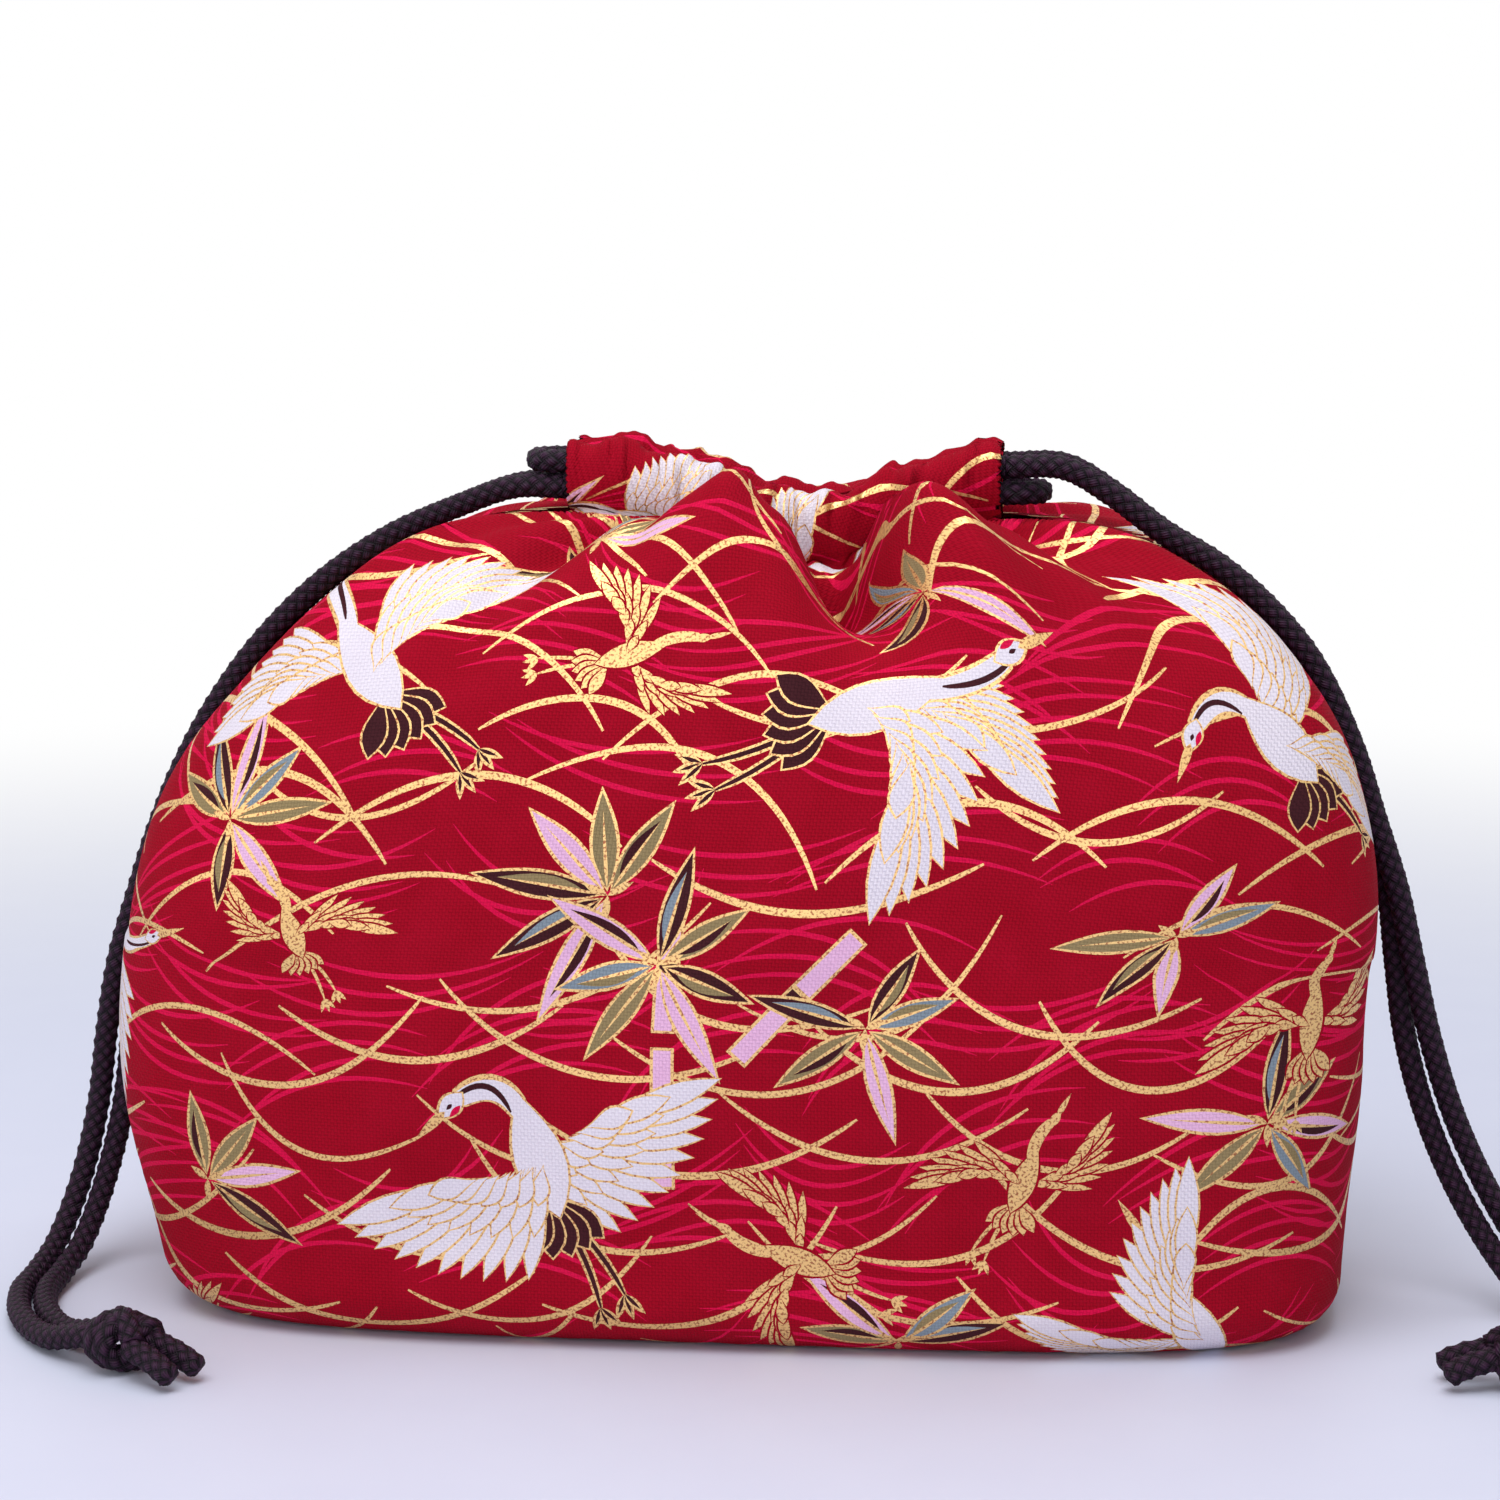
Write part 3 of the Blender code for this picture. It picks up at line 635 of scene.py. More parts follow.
def legs(pale, dark):
    """Two trailing legs, with three toes each."""
    shapes = []
    for end in ((-33.0, -5.0), (-31.0, -10.5)):
        shapes.append(("gold", stroke(HIP, end, 1.2, 2.1 if pale else 1.4, 8, 0.4, 0.4)))
        if pale:
            shapes.append((dark, stroke(HIP, end, 1.2, 1.0, 8, 0.4, 0.4)))
        for toe in (-0.5, 0.1, 0.6):
            shapes.append(("gold", leaf(end, math.pi + toe, 6.0, 1.9)))
            if pale:
                shapes.append((dark, leaf(end, math.pi + toe, 4.6, 0.8)))
    return shapes


def head(colour, dark, nape, bow, gaze):
    """The head and bill; a white crane also has a throat stripe, an eye and a bright crown."""
    shapes = []
    pale = colour != "gold"
    ahead = np.array((math.cos(gaze), math.sin(gaze)))
    face = np.array(nape) - 3.4 * ahead
    if pale:
        chord = np.array(nape) - SHOULDER
        below = np.array((chord[1], -chord[0])) / np.hypot(*chord)
        throat = np.array(SHOULDER) + 0.22 * chord + 1.2 * below
        shapes.append((dark, stroke(throat, nape + 1.0 * below, bow * 0.8, 1.3, 12, 0.5, 0.3)))
        shapes.append(("gold", leaf(face - 0.4 * ahead, gaze, 8.6, 5.2)))
    shapes.append((colour, leaf(face, gaze, 7.4, 4.1 if pale else 3.4)))
    shapes.append(("gold", leaf(face + 5.4 * ahead, gaze - 0.05, 9.6, 2.1, 0.3)))
    if pale:
        shapes.append((dark, leaf(face + 3.2 * ahead, gaze, 1.7, 0.9)))
        crown = face + 2.2 * ahead + 1.5 * np.array((-ahead[1], ahead[0]))
        shapes.append(("rose", leaf(crown, gaze, 3.6, 1.3)))
    return shapes


def crane(at, turn, size, flip, near, far, colour="white", neck="straight"):
    """A crane in flight, head to the right; a wing is its arm, first feather and spread, in degrees."""
    pale = colour != "gold"
    dark = "brown black" if pale else "gold"
    nape, bow, gaze = NECKS[neck]

    def set_wing(place, angles, span):
        arm, lead, spread = (math.radians(a) for a in angles)
        count = WHITE_FEATHERS if pale else GOLD_FEATHERS
        return wing(place, arm, lead, spread, span, count, colour)

    shapes = set_wing((1.0, 2.0), far, 0.95 * SPAN) + legs(pale, dark)
    for i in range(6):
        shapes += feather((-7.5, -0.5 + 0.2 * i), math.radians(218 - 16 * i), 13.5, 5.4, dark)
    if pale:
        shapes.append(("gold", leaf(RUMP, 0.10, 29.0, 11.8)))
        shapes.append(("gold", stroke((9.0, 1.5), nape, bow, 6.0, 12, 0.25)))
    else:
        shapes.append(("red", leaf(RUMP, 0.10, 29.0, 11.0)))
    shapes.append((colour, leaf((-12.4, -1.0), 0.10, 27.8, 10.6 if pale else 9.0)))
    shapes.append((colour, stroke((8.0, 1.2), nape, bow, 4.4, 12, 0.25)))
    shapes += head(colour, dark, nape, bow, gaze)
    shapes += set_wing((-1.0, 0.0), near, SPAN)
    return [(name, turned(points, at, turn, size, flip)) for name, points in shapes]


CRANE = crane((0, 0), 0.0, 1.0, 1, (-75, -115, 62), (60, 20, 70))
print("a white crane:", len(CRANE), "shapes")

# %% [markdown]
# ## Bamboo
# A sprig is a star of narrow leaves. Each has a gold edge, a gold midrib and a brush mark of a second
# colour along one side of it. Straight pale canes with dark joints pass behind the largest sprigs.

# %% Draw bamboo
LEAF_EDGE = 0.65
LEAF_COLOURS = (
    ("olive", "brown black"),
    ("brown black", "blue grey"),
    ("pink", "brown black"),
    ("blue grey", "olive"),
    ("olive", "olive"),
    ("pink", "pink"),
    ("brown black", "olive"),
)


def sprig(at, turn, size, angles, first):
    """A star of bamboo leaves at the given angles, in degrees."""
    shapes = []
    for i, angle in enumerate(angles):
        direction = math.radians(angle) + turn
        ahead = np.array((math.cos(direction), math.sin(direction)))
        ground, mark = LEAF_COLOURS[(first + i) % len(LEAF_COLOURS)]
        length, width = size * (21.0 + 3.5 * ((i * 7) % 3)), size * 5.1
        root = np.array(at) + 1.5 * ahead
        rim_root, rim_length = root - LEAF_EDGE * ahead, length + 3 * LEAF_EDGE
        shapes.append(("gold", leaf(rim_root, direction, rim_length, width + 2 * LEAF_EDGE)))
        shapes.append((ground, leaf(root, direction, length, width)))
        side = 1 if (first + i) % 2 else -1
        mark_root = root + 0.12 * length * ahead
        brush = leaf(mark_root, direction, 0.7 * length, width * 0.86, half=side)
        shapes.append((mark, brush))
        shapes.append(("gold", leaf(root, direction, 0.82 * length, 0.75, 0.3)))
    for angle in (25, 150, 265):
        direction = math.radians(angle) + turn
        shapes.append(("gold", leaf(at, direction, 6.0 * size, 1.6)))
    return shapes


def cane(start, end, width):
    """A stretch of pale cane, with a dark joint in it and gold along both sides."""
    start, chord = np.array(start, float), np.array(end, float) - start
    shapes = [("gold", bar(start, start + chord, width + 2 * LEAF_EDGE))]
    lengths = ((0.02, 0.44, "pink"), (0.46, 0.53, "brown black"), (0.56, 0.98, "pink"))
    for near, far, colour in lengths:
        shapes.append((colour, bar(start + chord * near, start + chord * far, width)))
    return shapes


print("a sprig of five leaves:", len(sprig((0, 0), 0.0, 1.0, (20, 60, 100, 160, 220), 0)), "shapes")

# %% [markdown]
# ## Laying out the print
# The motifs are set down one by one where they look right on the drawn bag: large white cranes low on
# the left, right of the middle and at both shoulders, with gold birds and bamboo between them. The back
# of the bag gets the same subjects in its own order.

# %% Lay out the front and the back
def front_print():
    shapes = arc_net(FRONT_ARCS)
    shapes += cane((-10.0, 89.0), (-10.0, 119.0), 3.6)
    shapes += cane((-10.0, 122.0), (-10.0, 149.0), 3.6)
    shapes += cane((5.0, 117.0), (28.0, 143.0), 3.8)
    for at, turn, size, angles, first in (
        ((-38, 229), 0.1, 0.8, (150, 115, 75, 30, -10, 190), 1),
        ((-54, 256), 0.0, 0.8, (60, 20, -30, 100, 140), 2),
        ((44, 218), 0.0, 0.75, (165, 125, 85, 45, -45, 215), 1),
        ((-107, 168), 0.2, 0.85, (140, 105, 70, 35, -5, -60, -100), 0),
        ((-24, 150), 0.1, 0.95, (95, 130, 165, 55, 205, 240), 4),
        ((-12, 136), 0.0, 0.9, (35, 80, 150, 195, 235, -60, -20), 0),
        ((31, 124), 0.0, 0.8, (20, -30, -75, 60, 215, 165), 3),
        ((91, 146), 0.0, 0.8, (60, 25, 190, 265, 230), 2),
        ((113, 104), 0.1, 0.85, (30, 75, -15, -60, 215, 170), 0),
        ((-108, 86), 0.0, 0.8, (50, 10, -30, 100), 4),
        ((38, 56), 0.0, 0.85, (170, 15, 140, 40), 0),
        ((0, 22), 0.4, 0.9, (20, 60, 100, 160, 220, 300), 1),
        ((-60, 12), 1.0, 0.8, (20, 60, 100, 160, 220), 3),
    ):
        shapes += sprig(at, turn, size, angles, first)
    for at, turn, size, flip, near, far in (
        ((-27, 200), 0.4, 0.55, -1, (-70, -100, 60), (70, 30, 60)),
        ((-88, 142), 1.9, 0.5, 1, (-80, -120, 60), (60, 20, 60)),
        ((122, 124), 1.6, 0.6, -1, (-80, -120, 60), (75, 40, 60)),
        ((63, 92), 1.3, 0.55, -1, (-80, -120, 60), (60, 20, 60)),
        ((18, 74), 2.9, 0.6, -1, (-70, -110, 60), (60, 20, 60)),
        ((-118, 40), 0.5, 0.6, 1, (-70, -110, 60), (60, 20, 60)),
        ((60, 10), 2.5, 0.6, 1, (-70, -110, 60), (60, 20, 60)),
    ):
        shapes += crane(at, turn, size, flip, near, far, "gold")
    shapes += crane((24, 190), 0.22, 1.05, 1, (-62, -108, 76), (-30, -48, 40))
    shapes += crane((-35, 94), 1.78, 1.0, 1, (92, 98, 62), (-70, -80, -62), neck="curled")
    shapes += crane((-80, 198), 2.2, 0.95, 1, (-78, -92, 50), (60, 82, -50))
    shapes += crane((108, 188), 2.35, 0.9, 1, (-150, -172, 40), (-20, -42, -40), neck="curled")
    shapes += crane((-150, 132), 0.1, 0.95, 1, (-60, -100, 70), (120, 90, 50))
    shapes += crane((100, 58), 1.9, 0.9, 1, (0, -20, 60), (90, 50, 50))
    shapes += crane((4, 254), 0.2, 0.8, 1, (75, 60, 50), (120, 100, 50))
    shapes += crane((-30, 262), 2.9, 0.7, 1, (75, 60, 50), (-120, -100, 50))
    return shapes


def back_print():
    shapes = arc_net(BACK_ARCS)
    shapes += cane((60.0, 102.0), (60.0, 132.0), 3.6)
    shapes += cane((72.0, 88.0), (94.0, 114.0), 3.8)
    shapes += cane((-24.0, 148.0), (-46.0, 172.0), 3.6)
    for at, turn, size, angles, first in (
        ((-60, 214), 0.3, 0.85, (150, 115, 75, 30, -10, 190), 0),
        ((38, 196), 0.9, 0.9, (165, 125, 85, 45, -45, 215), 3),
        ((-20, 150), 0.4, 0.95, (140, 100, 60, 20, -40, -80), 1),
        ((96, 158), 0.1, 0.85, (95, 130, 165, 55, 205, 240), 4),
        ((64, 100), 0.0, 0.95, (35, 80, 150, 195, 235, -60, -20), 2),
        ((-112, 110), 0.0, 0.85, (20, -30, -75, 60, 215, 165), 0),
        ((-34, 66), 0.5, 0.85, (60, 25, 190, 265, 230), 1),
        ((118, 74), 0.1, 0.85, (30, 75, -15, -60, 215, 170), 3),
        ((20, 16), 0.3, 0.9, (20, 60, 100, 160, 220, 300), 2),
    ):
        shapes += sprig(at, turn, size, angles, first)
    for at, turn, size, flip in (
        ((-112, 196), 0.6, 0.55, 1),
        ((8, 232), 2.6, 0.5, -1),
        ((-72, 132), 0.2, 0.6, -1),
        ((126, 118), 1.5, 0.55, 1),
        ((22, 60), 0.5, 0.6, 1),
        ((-118, 56), 2.4, 0.6, -1),
        ((-60, 16), 0.5, 0.6, 1),
        ((90, 20), 2.5, 0.6, 1),
    ):
        shapes += crane(at, turn, size, flip, (-70, -110, 60), (60, 20, 60), "gold")
    shapes += crane((-64, 176), 0.3, 1.05, -1, (-62, -108, 76), (-30, -48, 40))
    shapes += crane((40, 138), 2.9, 1.1, 1, (128, 150, 50), (10, -14, 52))
    shapes += crane((98, 196), 2.2, 0.95, -1, (60, 15, 50), (150, 120, 50), neck="curled")
    shapes += crane((-80, 88), 1.5, 0.95, 1, (92, 98, 62), (-70, -80, -62), neck="curled")
    shapes += crane((76, 52), 2.8, 1.0, -1, (0, -20, 60), (90, 50, 50))
    return shapes


# %% [markdown]
# ## Adding material nodes
# Every finish is a small network of shader nodes. One helper adds a node: an input that is given
# another node's output is linked, and any other value is set. A few shorter ones name the steps that
# come back in every material. Colours are written as the eye sees them, in sRGB hex, and one function
# turns them into the linear values that the renderer works in.

# %% Helpers for materials
def linear(colour):
    """Linear red, green, blue and alpha of an sRGB hex colour."""
    parts = [int(colour[i : i + 2], 16) / 255 for i in (1, 3, 5)]
    curve = [p / 12.92 if p <= 0.04045 else ((p + 0.055) / 1.055) ** 2.4 for p in parts]
    return (*curve, 1.0)


def add_node(tree, kind, inputs=None, **settings):
    """Adds a node; an input is linked to an output socket, or set to a plain value."""
    node = tree.nodes.new(kind)
    for name, value in settings.items():
        setattr(node, name, value)
    for socket, value in (inputs or {}).items():
        if isinstance(value, bpy.types.NodeSocket):
            tree.links.new(value, node.inputs[socket])
        else:
            node.inputs[socket].default_value = value
    return node


def calculate(tree, operation, *inputs):
    return add_node(tree, "ShaderNodeMath", dict(enumerate(inputs)), operation=operation).outputs[0]


def stretch(tree, value, low, high, to_low=0.0, to_high=1.0, **settings):
    """Moves a value from one range to another and holds it at the ends."""
    inputs = {"Value": value, "From Min": low, "From Max": high, "To Min": to_low, "To Max": to_high}
    return add_node(tree, "ShaderNodeMapRange", inputs, **settings).outputs[0]


def mix_colours(tree, share, first, second):
    inputs = {"Factor": share, "A": first, "B": second}
    return add_node(tree, "ShaderNodeMix", inputs, data_type="RGBA").outputs["Result"]


def noise(tree, place, scale, detail):
    inputs = {"Vector": place, "Scale": scale, "Detail": detail}
    return add_node(tree, "ShaderNodeTexNoise", inputs).outputs["Fac"]


def bump(tree, height, strength, depth):
    inputs = {"Height": height, "Strength": strength, "Distance": depth}
    return add_node(tree, "ShaderNodeBump", inputs).outputs[0]


def new_material(name):
    """An empty material, with its tree."""
    made = bpy.data.materials.new(name)
    made.use_nodes = True
    made.node_tree.nodes.clear()
    return made, made.node_tree


def surface(tree, shader):
    add_node(tree, "ShaderNodeOutputMaterial", {"Surface": shader})


def principled(tree, **inputs):
    """The general shader; an input's name is written with low lines for its spaces."""
    named = {name.replace("_", " "): value for name, value in inputs.items()}
    return add_node(tree, "ShaderNodeBsdfPrincipled", named).outputs[0]


# %% [markdown]
# ## Printed cotton
# The cloth is a plain weave: each thread goes over one and under the next. Its threads are about
# 0.3 mm apart, which is too fine to show here, so the weave is drawn at 0.7 mm. Two sets of ridges
# take turns on a checkerboard, which is what a plain weave looks like close up, and the gaps between
# them are painted darker, as painted shade. Cotton scatters light, so it is rough and hardly glossy.
# Each ink is the same cloth in another colour. The scales of the noise count its grains to a metre:
# blotches of 11 mm and flecks of 0.9 mm.

# %% Make the inks
THREAD = 0.7 * MM
CLOTH_UV = "Cloth"
BLOTCHES, FLECKS = 90.0, 1100.0


def cloth_place(tree):
    return add_node(tree, "ShaderNodeUVMap", uv_map=CLOTH_UV).outputs["UV"]


def cotton(name, colour, painted_shade_colour, fleck):
    """Plain-weave cotton in one colour, with painted shade between its threads, and a little uneven."""
    made, tree = new_material(name)
    place = cloth_place(tree)
    counted = {0: place, "Scale": 1 / THREAD}
    threads = add_node(tree, "ShaderNodeVectorMath", counted, operation="SCALE").outputs[0]
    parts = add_node(tree, "ShaderNodeSeparateXYZ", {0: threads}).outputs
    ridges = []
    for axis in ("X", "Y"):
        wave = calculate(tree, "SINE", calculate(tree, "MULTIPLY", parts[axis], math.pi))
        ridges.append(calculate(tree, "ABSOLUTE", wave))
    turns = add_node(tree, "ShaderNodeTexChecker", {"Vector": threads, "Scale": 1.0}).outputs["Fac"]
    woven = {"Factor": turns, "A": ridges[0], "B": ridges[1]}
    weave = add_node(tree, "ShaderNodeMix", woven).outputs["Result"]
    # Painted shade: each ink darkens in the gaps between the threads.
    painted_shade_between_threads = stretch(tree, weave, 0.0, 0.8, 0.6, 0.0)
    mixed = mix_colours(tree, painted_shade_between_threads, linear(colour), linear(painted_shade_colour))
    worn = stretch(tree, noise(tree, place, BLOTCHES, 3.0), 0.35, 0.7, 0.0, 0.4)
    speck = calculate(tree, "MULTIPLY", worn, noise(tree, place, FLECKS, 1.0))
    shader = principled(
        tree,
        Base_Color=mix_colours(tree, speck, mixed, linear(fleck)),
        Normal=bump(tree, weave, 0.6, 0.16 * MM),
        Roughness=0.85,
        IOR=1.5,
        Specular_IOR_Level=0.08,
    )
    surface(tree, shader)
    return made


# Dyed red cotton, and six pigment inks printed on it.
INKS = {
    "red": cotton("red dyed cotton", "#9B031E", "#64020F", "#B60D30"),
    "rose": cotton("bright red ink on cotton", "#D40B44", "#A0072E", "#E42455"),
    "white": cotton("white ink on cotton", "#E0D8E4", "#C8BCCC", "#EAE4EC"),
    "pink": cotton("pink ink on cotton", "#E3B2D6", "#C48DB5", "#F0CBE6"),
    "olive": cotton("olive ink on cotton", "#8E7C58", "#6A5A3E", "#A8946E"),
    "blue grey": cotton("blue grey ink on cotton", "#7F8C98", "#5C6873", "#98A4AE"),
    "brown black": cotton("brown black ink on cotton", "#3E1A20", "#261014", "#582A30"),
}
print("inks on cotton:", len(INKS))

# %% [markdown]
# ## Metallic gold foil print
# The gold lines are foil pressed on glue. Foil is a metal, but it lies on threads, so it glitters in
# small grains and the red shows through where it missed. Noise with grains of 0.6 mm, and finer ones
# inside them, sets both their tilt and the gaps.

# %% Make the gold foil
GRAINS = 1700.0


def gold_foil():
    made, tree = new_material("metallic gold foil print")
    grain = noise(tree, cloth_place(tree), GRAINS, 3.0)
    missed = stretch(tree, grain, 0.38, 0.5, 0.85, 0.0)
    shader = principled(
        tree,
        Base_Color=mix_colours(tree, missed, linear("#E6BE7E"), linear("#8C3A26")),
        Normal=bump(tree, grain, 0.5, 0.1 * MM),
        Metallic=0.7,
        Roughness=0.42,
    )
    surface(tree, shader)
    return made


INKS["gold"] = gold_foil()
print("all colours:", ", ".join(INKS))

# %% [markdown]
# ## Points on the flat sheet
# The cloth needs inner points so that it can bend. They are close together where it gathers and
# further apart where it is smooth, and they are taken from the grid's own rows and columns. So is the
# outline of the sheet.

# %% Scatter the inner points
# How many rows and columns of the grid lie between one inner point and the next.
BANDS = {
    "base": (4, 20),
    "edge": (2, 8),
    "wall": (3, 9),
    "roof": (3, 7),
    "gathered roof": (1, 4),
    "hem": (2, 4),
    "inner hem": (4, 8),
}
GATHERS_FROM, HEM_TURNS_IN = 62, 32
MEETS = 1e-4


def cloth_scatter(flat_x, flat_y, starts):
    """Inner points of the flat sheet and its outline, from the grid's own rows and columns."""
    rows, columns = flat_x.shape
    limits = (
        ("base", starts["edge"]),
        ("edge", starts["wall"]),
        ("wall", starts["roof"]),
        ("roof", starts["roof"] + GATHERS_FROM),
        ("gathered roof", starts["hem"]),
        ("hem", starts["hem"] + HEM_TURNS_IN),
        ("inner hem", rows),
    )
    points, left, right, row = [], [], [], 0
    first_row = last_row = None
    turned_in = len(ALLOWANCE)
    for name, end in limits:
        row_step, column_step = BANDS[name]
        while row < end:
            inner = range(turned_in, columns - turned_in, column_step)
            picked = [0, *inner, columns - turned_in, columns - 1]
            places = [(flat_x[row, c], flat_y[row]) for c in dict.fromkeys(picked)]
            first_row, last_row = first_row or places, places
            left.append(places[0])
            right.append(places[-1])
            points += places[1:-1]
            row += row_step
    if last_row[0][1] < flat_y[-1] - MEETS:
        last_row = [(flat_x[-1, c], flat_y[-1]) for c in range(0, columns, column_step)]
        left.append(last_row[0])
        right.append(last_row[-1])
    return points, first_row[:-1] + right[:-1] + last_row[::-1][:-1] + left[::-1][:-1]


# %% [markdown]
# ## From the flat sheet to the bag
# Every corner of the flat cloth is lifted to its place in space, which lies between four points of the
# grid. It gets the grid's smooth normal too, so the cloth doesn't look faceted.

# %% Lift points off the flat cloth
def lift(points, grid, normals, flat_x, flat_y):
    """Moves points of the flat cloth to their places in space, with their normals."""
    at_row = np.interp(points[:, 1], flat_y, np.arange(len(flat_y)))
    row = np.minimum(at_row.astype(int), len(flat_y) - 2)
    up = at_row - row
    columns = np.arange(flat_x.shape[1])
    at_column = np.zeros(len(points))
    for r in np.unique(row):
        here = row == r
        low = np.interp(points[here, 0], flat_x[r], columns)
        high = np.interp(points[here, 0], flat_x[r + 1], columns)
        at_column[here] = low + (high - low) * up[here]
    column = np.minimum(at_column.astype(int), len(columns) - 2)
    over = (at_column - column)[:, None]
    up = up[:, None]
    found = []
    for values in (grid, normals):
        low = values[row, column] * (1 - over) + values[row, column + 1] * over
        high = values[row + 1, column] * (1 - over) + values[row + 1, column + 1] * over
        found.append(low * (1 - up) + high * up)
    return found


# %% [markdown]
# ## Cutting the print into the cloth
# The shapes are cut into a sheet with a constrained triangulation: it takes the outline of the cloth
# and all the print's outlines, and returns triangles that follow every edge. Each triangle takes the
# colour of the last shape that covers it. Of the edges, only those where the colour changes are kept,
# because many others lie under later shapes and would only add triangles.

# %% Cut the colours apart
def signed_area(outline):
    x, y = outline[:, 0], outline[:, 1]
    return 0.5 * float(np.sum(x * np.roll(y, -1) - np.roll(x, -1) * y))


def colour_fields(outline, shapes):
    """The print as flat triangles: their corners, the triangles and the number of each one's ink."""
    corners, faces = [], []
    for _, shape in [("red", outline), *shapes]:
        ring = shape if signed_area(shape) > 0 else shape[::-1]
        faces.append(list(range(len(corners), len(corners) + len(ring))))
        corners += [tuple(p) for p in ring]
    cut = delaunay_2d_cdt([Vector(p) for p in corners], [], faces, 0, MEETS, True)
    names = list(INKS)
    inks = [names.index("red")] + [names.index(ink) for ink, _ in shapes]
    fields = [(t, inks[max(origin)]) for t, origin in zip(cut[2], cut[5]) if 0 in origin]
    return cut[0], [t for t, _ in fields], [ink for _, ink in fields]


def colour_edges(triangles, inks):
    """The edges where one ink meets another."""
    beside = {}
    for (a, b, c), ink in zip(triangles, inks):
        for edge in ((a, b), (b, c), (c, a)):
            beside.setdefault((min(edge), max(edge)), set()).add(ink)
    return [edge for edge, found in beside.items() if len(found) > 1]


def ink_finder(corners, triangles, inks):
    """A function that gives the ink at a place on the flat cloth."""
    tree = BVHTree.FromPolygons([(p[0], p[1], 0.0) for p in corners], triangles)
    down = Vector((0.0, 0.0, -1.0))

    def ink_at(x, y):
        hit = tree.ray_cast(Vector((x, y, 1.0)), down)[2]
        return inks[tree.find_nearest(Vector((x, y, 0.0)))[2] if hit is None else hit]

    return ink_at


# %% [markdown]
# ## A printed panel
# A second cut takes the kept edges and the inner points together. Its triangles follow the print and
# bend with the cloth. Each one looks up its colour in the first cut, and the flat places are kept as
# the map that the weave is drawn on.

# %% Turn a flat sheet into a bag panel
def cut_cloth(outline, points, shapes):
    """The sheet as flat triangles between the colours' edges: corners, triangles and their inks."""
    field_corners, fields, field_inks = colour_fields(outline, shapes)
    ink_at = ink_finder(field_corners, fields, field_inks)
    first = len(outline) + len(points)
    corners = [Vector(p) for p in (*outline, *points)] + field_corners
    edges = np.array(colour_edges(fields, field_inks)) + first
    kept = np.unique(np.concatenate([np.arange(first), edges.ravel()]))
    number = np.zeros(len(corners), int)
    number[kept] = np.arange(len(kept))
    ring = list(range(len(outline)))
    used_corners = [corners[i] for i in kept]
    cut = delaunay_2d_cdt(used_corners, number[edges].tolist(), [ring], 0, MEETS, True)
    triangles, inks = [], []
    for triangle, origin in zip(cut[2], cut[5]):
        if origin:
            x, y = (sum(cut[0][corner][k] for corner in triangle) / 3 for k in (0, 1))
            triangles.append(triangle)
            inks.append(ink_at(x, y))
    triangles = np.array(triangles)
    used = np.unique(triangles)
    renumber = np.zeros(len(cut[0]), int)
    renumber[used] = np.arange(len(used))
    return np.array([tuple(cut[0][i]) for i in used]), renumber[triangles], inks


def printed_panel(name, sheet, shapes, side):
    """One sheet of the bag, cut along its print and put in place."""
    grid, flat_x, flat_y, starts = sheet
    points, outline = cloth_scatter(flat_x, flat_y, starts)
    outline = np.array(outline)
    if signed_area(outline) < 0:
        outline = outline[::-1]
    flat_points, triangles, inks = cut_cloth(outline, points, shapes)
    if side > 0:
        triangles = triangles[:, ::-1]
    places, normals = lift(flat_points, grid, grid_normals(grid, side), flat_x, flat_y)
    mesh = bpy.data.meshes.new(name)
    mesh.from_pydata((places * MM).tolist(), [], triangles.tolist())
    for ink in INKS.values():
        mesh.materials.append(ink)
    mesh.polygons.foreach_set("material_index", inks)
    mesh.shade_smooth()
    loops = np.zeros(len(mesh.loops), int)
    mesh.loops.foreach_get("vertex_index", loops)
    layer = mesh.uv_layers.new(name=CLOTH_UV)
    layer.data.foreach_set("uv", (flat_points[loops] * MM).ravel())
    mesh.normals_split_custom_set_from_vertices(normals.tolist())
    print(f"{name}: {len(triangles)} triangles, {len(shapes)} printed shapes")
    return add_object(name, mesh)


# %% [markdown]
# ## Sewing the bag
# The two printed panels ride on the bag's one body and stand for the two CAD solids of the cloth, which
# are hidden. The size that each was cut to is printed.

# %% Make both panels
def sewn_in(piece, node):
    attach(piece, "root")
    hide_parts(node)
    return piece


for name, sheet, shapes, side in (
    ("front", FRONT, front_print(), -1),
    ("back", BACK, back_print(), 1),
):
    panel = printed_panel(f"{name}_cloth", sheet, shapes, side)
    sewn_in(panel, f"{name}_panel")
    wide, high = (float(np.ptp(flat)) * MM for flat in (sheet[1][WIDEST_ROW], sheet[2]))
    print(f"{name}: cut {wide * 1000:.0f} x {high * 1000:.0f} mm")

# %% [markdown]
# ## Braided cord
# The cords are round braids of black polyester with a violet cast. A braid's stitches form diamonds in
# a chessboard of two directions. The tube's surface is raised in that pattern, so the edge of the cord
# is bumpy too, and the shader adds the threads inside each stitch, which slant one way in one set of
# diamonds and the other way in the next. The braid's hollows are painted darker than its stitches, as
# painted shade.

# %% The braid's material
BRAID_UV = "Braid"
THREADS_IN_STITCH = 4


